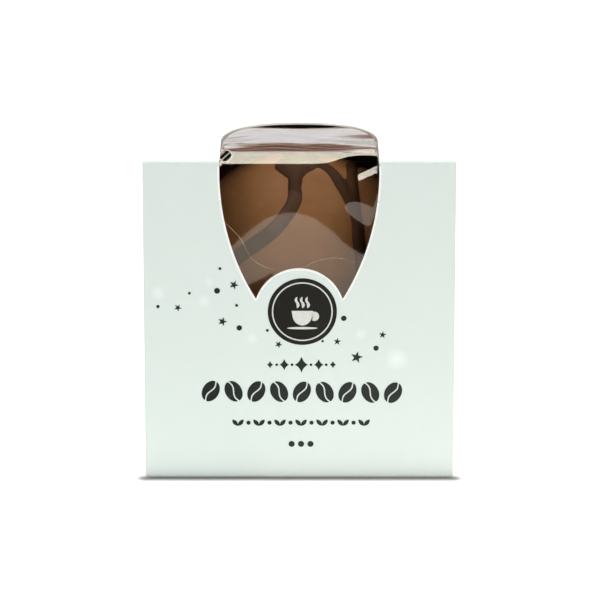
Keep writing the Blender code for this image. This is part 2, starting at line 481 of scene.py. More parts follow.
@dataclass(frozen=True)
class CoatedBoard:
    """The printed side of the board: pale mint under a satin coat, worn in the creases."""

    colour: Colour = (0.73, 0.81, 0.765, 1.0)
    worn: Colour = (0.86, 0.89, 0.85, 1.0)
    core: Colour = (0.97, 0.955, 0.925, 1.0)
    glow: Colour = (0.88, 0.93, 0.90, 1.0)
    roughness: float = 0.42
    fibre_size: float = 1.6 * MM
    cloud_size: float = 22 * MM
    wear_size: float = 0.7 * MM
    wear_share: float = 0.6
    grain_size: float = 0.5 * MM
    grain_depth: float = 0.006 * MM
    front_band: float = 1 * MM
    glows: tuple[Glow, ...] = (
        Glow(-32.7 * MM, 44.5 * MM, 2.2 * MM, 0.55),
        Glow(-22.0 * MM, 42.6 * MM, 1.9 * MM, 0.5),
        Glow(-10.9 * MM, 33.5 * MM, 1.7 * MM, 0.45),
        Glow(-20.9 * MM, 47.2 * MM, 1.5 * MM, 0.4),
        Glow(14.3 * MM, 34.7 * MM, 1.8 * MM, 0.45),
        Glow(22.7 * MM, 28.6 * MM, 3.2 * MM, 0.75),
    )

    def material(self, front: float) -> Material:
        """Make the material.

        Args:
            front: the y of the front panel, which alone has the glows.

        Returns:
            The material.
        """
        s = Surface("coated_board")
        x, y, z = s.axes(s.place)
        fibre = s.noise(s.place, self.fibre_size, 4.0, 0.6)
        cloud = s.noise(s.place, self.cloud_size, 1.0)
        light: Any = 0.0
        for glow in self.glows:
            light = light + glow.light(x, z)
        base = s.blend(y.below(front + self.front_band) * light, self.colour, self.glow)
        base = s.tinted(base, 0.985 + 0.02 * fibre + 0.015 * cloud)
        wear = s.mark("crease") * s.noise(s.place, self.wear_size, 3.0).rise(0.35, 0.75)
        base = s.blend(wear * self.wear_share, base, self.worn)
        base = s.blend(s.mark("cut_edge").rise(0.02, 0.22), base, self.core)
        return s.dress(
            Base_Color=base,
            Roughness=self.roughness + 0.1 * fibre + 0.12 * wear,
            Normal=s.relief(s.noise(s.place, self.grain_size, 3.0, 0.6), self.grain_depth),
        )


@dataclass(frozen=True)
class RawBoard:
    """Bare board, where it is cut or not coated."""

    name: str
    colour: Colour
    fleck: Colour
    grain: float
    grain_depth: float = 0.03 * MM
    fleck_size: float = 0.9 * MM
    fleck_share: float = 0.5

    def material(self) -> Material:
        """Make the material.

        Returns:
            The material.
        """
        s = Surface(self.name)
        fibre = s.noise(s.place, self.grain, 5.0, 0.65)
        flecks = s.noise(s.place, self.fleck_size, 2.0, 0.7).rise(0.58, 0.72)
        base = s.blend(flecks * self.fleck_share, self.colour, self.fleck)
        return s.dress(
            Base_Color=s.tinted(base, 0.9 + 0.2 * fibre),
            Roughness=0.8 + 0.15 * fibre,
            Normal=s.relief(fibre, self.grain_depth),
        )


@dataclass(frozen=True)
class Spot:
    """An oval that looks upright from the front and above.

    Its place is x, and z plus a share of the depth behind the front panel.
    """

    across: float
    up: float
    half_width: float
    half_height: float
    lean: float = 0.277
    front: float = -36 * MM

    def distance(self, s: Surface) -> Value:
        """Return the squared distance from its middle, 1 at its edge.

        Args:
            s: the material that it belongs to.

        Returns:
            The squared distance.
        """
        x, y, z = s.axes(s.place)
        aside = (x - self.across) / self.half_width
        above = (z + self.lean * (y - self.front) - self.up) / self.half_height
        return aside * aside + above * above


@dataclass(frozen=True)
class ClearFilm:
    """Thin clear film: see-through face on, a mirror at a glancing angle.

    At its left end it has a painted buckle: a pale matt ring painted as a highlight, round a spot where
    the mirror is cut off so the dark inside shows, crossed by painted glint stripes.
    """

    facing_share: float = 0.07
    rise_power: float = 5.0
    clear: Colour = (0.985, 0.985, 0.98, 1.0)
    first_tint: Colour = (1.0, 0.965, 0.95, 1.0)
    second_tint: Colour = (0.955, 0.965, 1.0, 1.0)
    third_tint: Colour = (0.97, 1.0, 0.95, 1.0)
    band_width: float = 5 * MM
    drift_size: float = 9 * MM
    scuff_size: float = 3 * MM
    wave_size: float = 4 * MM
    wave_depth: float = 0.003 * MM
    painted_buckle: Spot = Spot(-16.95 * MM, 77.3 * MM, 1.55 * MM, 1.6 * MM)
    painted_highlight_ring: Colour = (0.80, 0.74, 0.66, 1.0)
    painted_highlight_share: float = 0.8
    glint_width: float = 0.24 * MM
    glint_share: float = 0.7

    def material(self) -> Material:
        """Make the material.

        Returns:
            The material.
        """
        s = Surface("clear_film")
        x, y, z = s.axes(s.place)
        facing = s.value(s.node("ShaderNodeLayerWeight", None, {0: 0.5}).outputs["Facing"])
        mirrored = self.facing_share + (1 - self.facing_share) * facing**self.rise_power
        # painted buckle: inside the oval the mirror is cut off except along painted glint stripes, so the
        # dark inside shows
        away = self.painted_buckle.distance(s)
        slant = (x - z - self.painted_buckle.lean * y) / self.glint_width
        glint = s.math("SINE", slant).rise(0.35, 0.8) * self.glint_share
        mirrored = mirrored * (glint + (1 - glint) * away.rise(0.72, 0.86))
        # a pale matt ring round the oval, painted as the buckle's highlight
        highlight_ring_mask = away.rise(0.74, 0.84) * (1 - away.rise(0.95, 1.05))
        drift = s.noise(s.place, self.drift_size, 2.0)
        bands = s.math("SINE", (y + z) / self.band_width + 3.0 * drift) * 0.5 + 0.5
        tint = s.blend(bands, self.first_tint, self.second_tint)
        tint = s.blend(drift.rise(0.5, 0.75), tint, self.third_tint)
        scuff = s.noise(s.place, self.scuff_size, 3.0, 0.6)
        mirror = s.principled(
            Base_Color=tint,
            Metallic=1.0,
            Roughness=0.012 + 0.02 * scuff,
            Normal=s.relief(s.noise(s.place, self.wave_size, 1.0), self.wave_depth),
        )
        clear = s.node("ShaderNodeBsdfTransparent", None, {0: self.clear})
        painted_highlight_ring = s.principled(Base_Color=self.painted_highlight_ring, Roughness=0.4)
        return s.finish(s.mix(highlight_ring_mask * self.painted_highlight_share, s.mix(mirrored, clear, mirror), painted_highlight_ring))


@dataclass(frozen=True)
class Chocolate:
    """Moulded or poured chocolate with a pale bloom; a pale spot of the bloom colour can be painted on as
    the film's milky reflection.
    """

    name: str
    colour: Colour
    deep: Colour
    bloom_and_reflection: Colour
    roughness: float
    bloom_share: float
    shine: float = 0.08
    painted_reflection_spot: Spot = Spot(-2.5 * MM, 63.5 * MM, 6 * MM, 6.3 * MM)
    painted_reflection_share: float = 0.0
    cloud_size: float = 11 * MM
    smear_size: float = 3.5 * MM
    pit_size: float = 1.3 * MM
    grain_size: float = 0.45 * MM
    depth: float = 0.03 * MM

    def material(self) -> Material:
        """Make the material.

        Returns:
            The material.
        """
        s = Surface(self.name)
        cloud = s.noise(s.place, self.cloud_size, 3.0, 0.55)
        grain = s.noise(s.place, self.grain_size, 3.0, 0.6)
        smear = s.noise(s.place, self.smear_size, 4.0, 0.6)
        pits = s.noise(s.place, self.pit_size, 1.0).rise(0.72, 0.82)
        base = s.blend(cloud.rise(0.3, 0.7), self.deep, self.colour)
        base = s.blend(smear.rise(0.55, 0.85) * self.bloom_share, base, self.bloom_and_reflection)
        # painted reflection: a pale spot of the bloom colour where the film's milky reflection lies over
        # the lines
        base = s.blend((1 - self.painted_reflection_spot.distance(s).rise(0.75, 1.05)) * self.painted_reflection_share, base, self.bloom_and_reflection)
        return s.dress(
            # the colour is darker in the pits: painted shade in the hollows
            Base_Color=s.tinted(base, 0.98 + 0.04 * grain - 0.15 * pits),
            Roughness=self.roughness + 0.14 * smear,
            Specular_IOR_Level=self.shine,
            Normal=s.relief(0.12 * grain + 0.8 * smear - 0.6 * pits, self.depth),
        )


@dataclass(frozen=True)
class PaintedFoldGlint:
    """A fine fold in clear film: mostly see-through, with a pale colour painted as the fold's glint."""

    colour: Colour = (0.66, 0.54, 0.40, 1.0)
    share: float = 0.5
    patch_size: float = 1.5 * MM

    def material(self) -> Material:
        """Make the material.

        Returns:
            The material.
        """
        s = Surface("fold_haze")
        uneven = s.noise(s.place, self.patch_size, 2.0).rise(0.3, 0.7)
        pale = s.principled(Base_Color=self.colour, Roughness=0.3)
        clear = s.node("ShaderNodeBsdfTransparent")
        return s.finish(s.mix(self.share * (0.4 + 0.6 * uneven), clear, pale))


class InkTone(Enum):
    """The inks of the print, by name and colour."""

    DARK = ("dark_ink", (0.014, 0.023, 0.020, 1.0))
    SEAL = ("seal_ink", (0.008, 0.009, 0.007, 1.0))
    PALE = ("pale_ink", (0.70, 0.72, 0.66, 1.0))


@dataclass(frozen=True)
class Ink:
    """Printed ink that lets the board's fibres show faintly."""

    tone: InkTone
    roughness: float = 0.4
    fibre_size: float = 0.35 * MM
    fibre_depth: float = 0.004 * MM
    thin_size: float = 2.5 * MM
    thin_share: float = 0.04

    def material(self) -> Material:
        """Make the material.

        Returns:
            The material.
        """
        name, colour = self.tone.value
        s = Surface(name)
        fibre = s.noise(s.place, self.fibre_size, 3.0, 0.65)
        thin = s.noise(s.place, self.thin_size, 2.0).rise(0.6, 0.9)
        base = s.blend(thin * self.thin_share, colour, grey(0.6))
        return s.dress(
            Base_Color=s.tinted(base, 0.85 + 0.3 * fibre),
            Roughness=self.roughness + 0.12 * fibre,
            Normal=s.relief(fibre, self.fibre_depth),
        )


@dataclass(frozen=True)
class StagePaper:
    """The white floor: it glows so that it stays white, glows more near the carton to light its foot, and
    has a painted contact shadow along the carton's front edge.
    """

    colour: Colour = grey(0.88)
    lift: float = 0.32
    near_glow: float = 0.5
    near: float = 90 * MM
    half_base: float = 36 * MM
    painted_shadow_level: float = 0.35
    white_from: float = 4.4 * MM
    grain_size: float = 20 * MM

    def material(self) -> Material:
        """Make the material.

        Returns:
            The material.
        """
        s = Surface("stage_paper")
        x, y, _ = s.axes(s.place)
        aside = (s.math("ABSOLUTE", x) - self.half_base).most(0.0)
        before = s.math("ABSOLUTE", y + self.half_base)
        away = (aside * aside + before * before) ** 0.5
        grain = s.noise(s.place, self.grain_size, 1.0)
        # painted contact shadow: colour and glow fall towards the carton's front base edge, down to the
        # shadow level
        clear = away.rise(0.0, self.white_from)
        near = 1.0 - away.rise(0.0, self.near)
        shade = self.painted_shadow_level + (1 - self.painted_shadow_level) * clear
        return s.dress(
            Base_Color=s.tinted(self.colour[:3], shade * (0.995 + 0.01 * grain)),
            Roughness=0.9,
            Emission_Color=s.tinted(grey(1.0)[:3], clear * (self.lift + self.near_glow * near)),
            Emission_Strength=1.0,
        )


@dataclass(frozen=True)
class Shine:
    """A plain light-giving face of the studio."""

    name: str
    radiance: float
    colour: Colour = grey(1.0)

    def material(self) -> Material:
        """Return the material."""
        s = Surface(self.name)
        return s.finish(s.node("ShaderNodeEmission", None, {0: self.colour, 1: self.radiance}))


# The carton


@dataclass(frozen=True)
class WindowShape:
    """The window's outline over the front and top panels.

    Its points are (x, along): along is 0 at the crease, below 0 down the front panel
    and above 0 back over the top panel.
    """

    half_width: float = 18.35 * MM
    upright: float = 3 * MM
    side_radius: float = 58 * MM
    tab_radius: float = 10.5 * MM
    tab_centre_drop: float = 36.1 * MM
    top_straight: float = 19.5 * MM
    top_end: float = 19 * MM
    end_fullness: float = 2.3
    steps: int = 40

    def side_drop(self, across: float) -> float:
        """Return how far down the side arc reaches a half width."""
        inward = self.half_width - across
        return self.upright + math.sqrt(self.side_radius**2 - (self.side_radius - inward) ** 2)

    def tab_drop(self, across: float) -> float:
        """Return how far down the tab's edge is at a half width."""
        return self.tab_centre_drop - math.sqrt(self.tab_radius**2 - across**2)

    def cusp(self) -> float:
        """Find where side arc and tab meet.

        Returns:
            The half width there.
        """
        low, high = 0.0, self.tab_radius
        for _ in range(40):
            middle = (low + high) / 2
            if self.side_drop(middle) > self.tab_drop(middle):
                low = middle
            else:
                high = middle
        return low

    def outline(self) -> list[Pair]:
        """Go round the window.

        Returns:
            The closed outline, from the tab's middle round by the right side.
        """
        cusp = self.cusp()
        half: list[Pair] = [(0.0, self.tab_radius - self.tab_centre_drop)]
        tab_angle = math.asin(cusp / self.tab_radius)
        for step in range(1, self.steps // 2):
            angle = tab_angle * step * 2 / self.steps
            up = self.tab_radius * math.cos(angle) - self.tab_centre_drop
            half.append((self.tab_radius * math.sin(angle), up))
        turn = math.acos((self.side_radius - self.half_width + cusp) / self.side_radius)
        for step in range(self.steps + 1):
            angle = turn * (1 - step / self.steps)
            across = self.half_width - self.side_radius * (1 - math.cos(angle))
            half.append((across, -self.upright - self.side_radius * math.sin(angle)))
        power = 2 / self.end_fullness
        for step in range(self.steps):
            angle = QUARTER * step / self.steps
            across = self.half_width * math.cos(angle) ** power
            half.append((across, self.top_straight + self.top_end * math.sin(angle) ** power))
        end = (0.0, self.top_straight + self.top_end)
        return half + [end] + [(-across, along) for across, along in reversed(half[1:])]

    def moved_out(self, distance: float) -> list[Pair]:
        """Move the outline away from the window's middle.

        Args:
            distance: how far.

        Returns:
            The wider outline.
        """
        points = self.outline()
        moved = []
        for before, here, after in zip([points[-1]] + points, points, points[1:] + points[:1]):
            way = Vector(after) - Vector(before)
            aside = Vector((way.y, -way.x)).normalized()
            moved.append(tuple(Vector(here) + aside * distance))
        return moved

    def inside(self, across: np.ndarray, along: np.ndarray) -> np.ndarray:
        """Measure how far points lie in from the outline.

        Args:
            across: their x.
            along: their distance back from the crease.

        Returns:
            The distances, below 0 outside.
        """
        corners = np.array(self.outline())
        ends = np.roll(corners, -1, axis=0)
        points = np.stack([across.ravel(), along.ravel()], axis=1)
        nearest = np.full(len(points), np.inf)
        crossings = np.zeros(len(points), int)
        for start, end in zip(corners, ends):
            run = end - start
            share = np.clip(((points - start) @ run) / max(run @ run, 1e-18), 0, 1)
            nearest = np.minimum(nearest, np.hypot(*(points - start - share[:, None] * run).T))
            spans = (start[1] > points[:, 1]) != (end[1] > points[:, 1])
            rise = run[1] if abs(run[1]) > 1e-12 else 1e-12
            crossings += spans & (points[:, 0] < start[0] + run[0] * (points[:, 1] - start[1]) / rise)
        signed = np.where(crossings % 2 == 1, nearest, -nearest)
        return signed.reshape(across.shape)


@dataclass(frozen=True)
class FoldedLine:
    """A line of straight runs, each but the last ending in a quarter bend to the right."""

    runs: tuple[float, ...]
    radii: tuple[float, ...]
    start: Pair = (0.0, 0.0)
    heading: float = 0.0

    def at(self, length: float) -> tuple[Vector, float, bool]:
        """Walk along the line.

        Args:
            length: how far to walk.

        Returns:
            The place, the heading there in radians, and True in a bend.
        """
        place = Vector(self.start)
        heading = math.radians(self.heading)
        for run, radius in zip(self.runs, self.radii + (0.0,)):
            way = Vector((math.cos(heading), math.sin(heading)))
            if length <= run or radius == 0.0:
                return place + way * length, heading, False
            place = place + way * run
            length -= run
            angle = min(length / radius, QUARTER)
            centre = place + radius * Vector((way.y, -way.x))
            left = Vector((-math.sin(heading - angle), math.cos(heading - angle)))
            if length < radius * QUARTER:
                return centre + radius * left, heading - angle, True
            place = centre + radius * left
            heading -= QUARTER
            length -= radius * QUARTER
        return place, heading, False

    def starts(self) -> list[float]:
        """Find the bends.

        Returns:
            The length along the line at which each bend starts.
        """
        marks = []
        walked = 0.0
        for run, radius in zip(self.runs, self.radii):
            walked += run
            marks.append(walked)
            walked += radius * QUARTER
        return marks


class Panel(Enum):
    """An upright panel, by its turn about +Z from the front in degrees."""

    FRONT = 0
    RIGHT = 90
    BACK = 180
    LEFT = -90


@dataclass
class Carton:
    """The folded blank: a tube of four panels, side panels with tucks, and dust flaps.

    The guard lines keep the panels flat up to a bend. A hair is a length too small to see,
    which keeps the points of two parted flaps apart.
    """

    low: Vector
    high: Vector
    window: WindowShape
    board: float = 0.5 * MM
    crease: float = 0.9 * MM
    base_crease: float = 0.34 * MM
    small_crease: float = 0.35 * MM
    side_step: float = 0.53 * MM
    dust_length: float = 25 * MM
    dust_inset: float = 0.8 * MM
    dust_taper: float = 5 * MM
    base_gap: float = 0.1 * MM
    seam_gap: float = 0.05 * MM
    tuck_length: float = 8.5 * MM
    tuck_taper: float = 1.6 * MM
    side_gap: float = 0.12 * MM
    side_rise: float = 0.58 * MM
    glue_flap: float = 12 * MM
    glue_foot: float = 1 * MM
    glue_tip: float = 4 * MM
    edge_band: float = 0.5 * MM
    edge_press: float = 0.05 * MM
    grid: float = 3 * MM
    bend_steps: int = 5
    guard: float = 0.3 * MM
    hair: float = 0.01 * MM
    bulge: dict[Panel, float] = field(
        default_factory=lambda: {
            Panel.FRONT: 0.15 * MM,
            Panel.RIGHT: 0.35 * MM,
            Panel.BACK: 0.25 * MM,
            Panel.LEFT: 0.4 * MM,
        }
    )
    top_bulge: float = 0.12 * MM

    def __post_init__(self) -> None:
        """Work out the fold lines from the carton's box."""
        self.width = self.high.x - self.low.x
        self.depth = self.high.y - self.low.y
        self.height = self.high.z - self.low.z
        around = self.crease
        seam = self.board + self.seam_gap
        self.tube = FoldedLine(
            runs=(
                self.depth - self.base_gap - self.base_crease,
                self.height - self.base_crease - around,
                self.depth - 2 * around,
                self.height - around - seam - self.small_crease,
                self.glue_flap,
            ),
            radii=(self.base_crease, around, around, self.small_crease),
            start=(self.depth / 2 - self.base_gap, 0.0),
            heading=180.0,
        )
        marks = self.tube.starts()
        arc = around * QUARTER
        self.bottom = (0.0, marks[0])
        self.front = (marks[0] + self.base_crease * QUARTER, marks[1])
        self.top = (marks[1] + arc, marks[2])
        self.back = (marks[2] + arc, marks[3])
        self.flap = (marks[3] + self.small_crease * QUARTER, marks[3] + arc + self.glue_flap)
        self.dust_fold = self.width / 2 - self.side_step - self.small_crease
        self.side_fold = self.width / 2 - around
        side_run = self.depth - around - self.board - self.side_gap - self.small_crease
        self.dust_line = FoldedLine((self.dust_fold, self.dust_length), (self.small_crease,))
        self.side_line = FoldedLine(
            (self.side_fold, side_run, self.tuck_length), (around, self.small_crease)
        )
        self.flat_line = FoldedLine((self.width,), ())

    def span(self, panel: Panel) -> float:
        """Return how wide an upright panel is."""
        return self.width if panel in (Panel.FRONT, Panel.BACK) else self.depth

    def bow(self, panel: Panel, across: Any, up: Any) -> Any:
        """Return how far an upright panel stands out from flat, for numbers or arrays."""
        beside = np.cos(math.pi * np.minimum(0.5, abs(across) / self.span(panel)))
        return self.bulge[panel] * beside * np.sin(math.pi * np.clip(up / self.height, 0.0, 1.0))

    def top_bow(self, across: Any, back: Any) -> Any:
        """Return how far the top panel stands up from flat at (x, y)."""
        beside = np.cos(math.pi * np.clip(across / self.width, -0.5, 0.5))
        return self.top_bulge * beside * np.cos(math.pi * np.clip(back / self.depth, -0.5, 0.5))

    def on_panel(self, panel: Panel, across: float, up: float, lift: float = 0.0) -> Vector:
        """Return a point on an upright panel.

        Args:
            panel: the panel.
            across: metres to the right of its middle, as it is faced.
            up: metres above the base.
            lift: metres out from its surface.

        Returns:
            The point.
        """
        reach = self.depth if panel in (Panel.FRONT, Panel.BACK) else self.width
        out = reach / 2 + self.bow(panel, across, up) + lift
        return Matrix.Rotation(math.radians(panel.value), 3, "Z") @ Vector((across, -out, up))

    def across_line(self, across: float, walked: float) -> FoldedLine:
        """Choose how the blank folds from the middle out.

        Args:
            across: a place across the blank.
            walked: its place along the tube.

        Returns:
            The folded line there.
        """
        if self.back[0] <= walked <= self.back[1] or self.on_side_rise(across, walked):
            return self.side_line
        for start, end in (self.bottom, self.top):
            if start + 2 * self.hair < walked < end - 2 * self.hair:
                return self.dust_line
        return self.flat_line

    def on_side_rise(self, across: float, walked: float) -> bool:
        """Return True where a side panel reaches past the back's top bend."""
        return abs(across) > self.side_fold and self.back[0] - 2 * self.side_rise < walked < self.back[0]

    def folded(self, across: float, walked: float) -> tuple[Vector, bool]:
        """Fold a point of the flat blank.

        Args:
            across: its place across the blank, 0 at the middle.
            walked: its place along the tube.

        Returns:
            The point in space, and True in a crease.
        """
        side = 1.0 if across >= 0 else -1.0
        section, heading, tube_bend = self.tube.at(walked)
        if self.on_side_rise(across, walked):
            section, heading, tube_bend = self.tube.at(self.back[0] + self.hair)
            section = section + Vector((0.0, self.back[0] - walked))
        out = Vector((0.0, -math.sin(heading), math.cos(heading)))
        local, turned, side_bend = self.across_line(across, walked).at(abs(across))
        middle = Vector((0.0, section.x, section.y))
        point = middle + Vector((side * local.x, 0.0, 0.0)) + out * local.y
        if tube_bend or side_bend:
            return point, True
        if self.front[0] <= walked <= self.front[1]:
            point.y -= self.bow(Panel.FRONT, point.x, point.z)
        elif self.back[0] <= walked <= self.back[1] and abs(across) <= self.side_fold:
            point.y += self.bow(Panel.BACK, point.x, point.z)
        elif self.back[0] <= walked <= self.back[1] and math.isclose(turned, -QUARTER):
            panel = Panel.RIGHT if side > 0 else Panel.LEFT
            point.x += side * self.bow(panel, point.y, point.z)
        elif self.top[0] <= walked <= self.top[1] and abs(across) <= self.dust_fold:
            point.z += self.top_bow(point.x, point.y)
        return point, False

    def side_outline(self) -> list[Pair]:
        """Go along the blank's right edge.

        Returns:
            Its corners, from the bottom panel's end to the glue flap's.
        """
        edge = self.width / 2
        points: list[Pair] = []
        small_arc = self.small_crease * QUARTER
        arc = self.crease * QUARTER
        for start, end in (self.bottom, self.top):
            root = self.dust_fold
            tip = root + small_arc + self.dust_length
            near = start + self.dust_inset
            far = end - self.dust_inset
            points += [(root, start), (root, near), (tip, near + self.dust_taper)]
            points += [(tip, far - self.dust_taper), (root, far), (root, end - self.hair)]
            if start == self.bottom[0]:
                points += [(edge, end), (edge, self.top[0] - self.hair)]
        near = self.back[0] - self.side_rise
        far = self.back[1] - self.side_gap
        fold = self.side_fold + arc + self.side_line.runs[1]
        tip = fold + small_arc + self.tuck_length
        points += [(self.side_fold, self.top[1]), (self.side_fold, self.back[0] + self.side_gap)]
        points += [(self.side_fold + arc, near), (fold, near)]
        points += [(tip, near + self.tuck_taper), (tip, far - self.tuck_taper), (fold, far)]
        points += [(self.side_fold, far), (self.side_fold - self.glue_foot, self.flap[0])]
        points += [(self.side_fold - self.glue_tip, self.flap[1])]
        return points

    def along_to_walked(self, along: float) -> float:
        """Turn a place measured from the top front corner into a length along the tube.

        Args:
            along: metres back from the corner, or below 0 down from it.

        Returns:
            The length along the tube.
        """
        if along < -self.crease:
            return self.front[1] + self.crease + along
        if along > self.crease:
            return self.top[0] - self.crease + along
        return self.front[1] + (along + self.crease) / (2 * self.crease) * self.crease * QUARTER

    def bend_marks(self, start: float, radius: float) -> list[float]:
        """Place a bend's fold lines.

        Args:
            start: where the bend starts.
            radius: its radius.

        Returns:
            The lines' places, with a guard line on either side.
        """
        arc = radius * QUARTER
        folds = [start + arc * step / self.bend_steps for step in range(self.bend_steps + 1)]
        return [start - self.guard] + folds + [start + arc + self.guard]

    def blank_lines(self) -> list[tuple[list[Pair], bool]]:
        """Draw the blank.

        Returns:
            Its lines, each with True if it is closed: the window's rim, a band round
            it, the blank's edge and the folds.
        """
        right = self.side_outline()
        lines = [
            ([(across, self.along_to_walked(along)) for across, along in line], True)
            for line in (self.window.outline(), self.window.moved_out(self.edge_band))
        ]
        lines.append((right + [(-across, walked) for across, walked in reversed(right)], True))
        for mark, radius in zip(self.tube.starts(), self.tube.radii):
            for walked in self.bend_marks(mark, radius):
                lines.append(([(-self.width / 2, walked), (self.width / 2, walked)], False))
        folds = [(self.dust_line, self.bottom), (self.dust_line, self.top), (self.side_line, self.back)]
        for line, (start, end) in folds:
            for mark, radius in zip(line.starts(), line.radii):
                for across in self.bend_marks(mark, radius):
                    lines += [([(side * across, start), (side * across, end)], False) for side in (-1, 1)]
        return lines

    def blank(self) -> tuple[list[Vector], list[list[int]], list[float]]:
        """Lay out the flat blank and cut it into triangles.

        Returns:
            Its points in millimetres, its triangles, and 1 for each point on the
            window's rim.
        """
        points: list[Vector] = []
        edges: list[tuple[int, int]] = []
        lines = self.blank_lines()
        for line, closed in lines:
            first = len(points)
            points += [Vector(point) / MM for point in line]
            edges += [(first + step, first + step + 1) for step in range(len(line) - 1)]
            if closed:
                edges.append((first + len(line) - 1, first))
        for (start, end), reach in (
            (self.bottom, self.dust_fold),
            (self.front, self.width / 2),
            (self.top, self.dust_fold),
            (self.back, self.side_fold + self.depth),
        ):
            rows = round((end - start) / self.grid)
            columns = round(2 * reach / self.grid)
            for row in range(1, rows):
                for column in range(1, columns):
                    across = -reach + 2 * reach * column / columns
                    points.append(Vector((across, start + (end - start) * row / rows)) / MM)
        weld = 1e-4
        corners, _, faces, sources, _, _ = delaunay_2d_cdt(points, edges, [], 0, weld)
        rim = [Vector(point) / MM for point in lines[0][0]]
        outer = [Vector(point) / MM for point in lines[2][0]]
        kept = []
        for face in faces:
            middle = sum((corners[corner] for corner in face), Vector((0.0, 0.0))) / len(face)
            if encloses(outer, middle) and not encloses(rim, middle):
                kept.append(face)
        on_rim = [float(any(source < len(rim) for source in given)) for given in sources]
        return list(corners), kept, on_rim

    def press_rim(self, mesh: Mesh) -> None:
        """Drop a blank's loose points, face it outwards and press in the window's cut rim.

        Args:
            mesh: the folded blank, with 1 at its points on the rim as cut_edge.
        """
        shape = bmesh.new()
        shape.from_mesh(mesh)
        loose = [vert for vert in shape.verts if not vert.link_faces]
        bmesh.ops.delete(shape, geom=loose, context="VERTS")
        bmesh.ops.recalc_face_normals(shape, faces=shape.faces)
        lowest = min(shape.faces, key=lambda face: face.calc_center_median().z)
        if lowest.normal.z > 0:
            bmesh.ops.reverse_faces(shape, faces=shape.faces)
        shape.normal_update()
        on_rim = shape.verts.layers.float["cut_edge"]
        for vert in shape.verts:
            vert.co -= vert.normal * vert[on_rim] * self.edge_press
        shape.to_mesh(mesh)
        shape.free()

    def build(self, outside: CoatedBoard, inside: RawBoard, core: RawBoard) -> Object:
        """Fold the blank and give the board its thickness.

        Args:
            outside: the finish of the printed side.
            inside: the finish of the inner side.
            core: the finish of the cut edges.

        Returns:
            The carton.
        """
        corners, faces, on_rim = self.blank()
        folded = [self.folded(corner.x * MM, corner.y * MM) for corner in corners]
        finishes = (outside.material(-self.depth / 2), inside.material(), core.material())
        carton = mesh_from("folded_carton", [point for point, _ in folded], faces, *finishes)
        set_mark(carton.data, "cut_edge", on_rim)
        set_mark(carton.data, "crease", [float(bent) for _, bent in folded])
        self.press_rim(carton.data)
        wall = carton.modifiers.new("board", "SOLIDIFY")
        wall.thickness = self.board
        wall.offset = -1.0
        wall.use_even_offset = True
        wall.material_offset = 1
        wall.material_offset_rim = 2
        return ship(settle(carton), "carton", 30.0)


def encloses(outline: Sequence[Vector], point: Vector) -> bool:
    """Test whether a closed outline goes round a point.

    Args:
        outline: its corners.
        point: the point.

    Returns:
        True if it does.
    """
    inside = False
    for start, end in zip(outline, outline[1:] + outline[:1]):
        if (start.y > point.y) != (end.y > point.y):
            crossing = start.x + (end.x - start.x) * (point.y - start.y) / (end.y - start.y)
            inside ^= point.x < crossing
    return inside


# The film


@dataclass(frozen=True)
class Dent:
    """A round-topped bump, or a dent where its height is below 0, in the film.

    Its place and half sizes are in metres over (x, along), and turn is in degrees. Its
    far side can have a half width of its own. Its ends are blunter at a higher power.
    """

    across: float
    along: float
    half_length: float
    half_width: float
    turn: float
    height: float
    far_width: float = 0.0
    power: float = 2.0

    def over(self, across: np.ndarray, along: np.ndarray) -> np.ndarray:
        """Measure the dent.

        Args:
            across: x, for an array of points.
            along: their distance back from the crease.

        Returns:
            Its height at each.
        """
        angle = math.radians(self.turn)
        beside = across - self.across
        beyond = along - self.along
        lengthwise = (beside * math.cos(angle) + beyond * math.sin(angle)) / self.half_length
        crosswise = beyond * math.cos(angle) - beside * math.sin(angle)
        crosswise = crosswise / np.where(crosswise > 0, self.far_width or self.half_width, self.half_width)
        return self.height * np.exp(-(np.abs(lengthwise) ** self.power + crosswise**2))


@dataclass(frozen=True)
class Ripple:
    """A fine wave across the film's top, by its length, steepest tilt and phase.

    Its crests wander from side to side, and it swells and ebbs along them.
    """

    length: float
    tilt: float
    phase: float
    wander: float = 3.6
    wander_width: float = 4.3 * MM
    swell_width: float = 7.7 * MM

    def over(self, across: np.ndarray, back: np.ndarray) -> np.ndarray:
        """Measure the wave.

        Args:
            across: x, for an array of points.
            back: their distance behind the film's bend.

        Returns:
            Its height at each.
        """
        wander = self.wander * np.sin(across / self.wander_width + 3 * self.phase)
        turn = 2 * math.pi * back / self.length + self.phase + wander
        swell = 0.6 + 0.8 * np.sin(across / self.swell_width + self.phase) ** 2
        return self.length / (2 * math.pi) * math.radians(self.tilt) * swell * np.sin(turn)


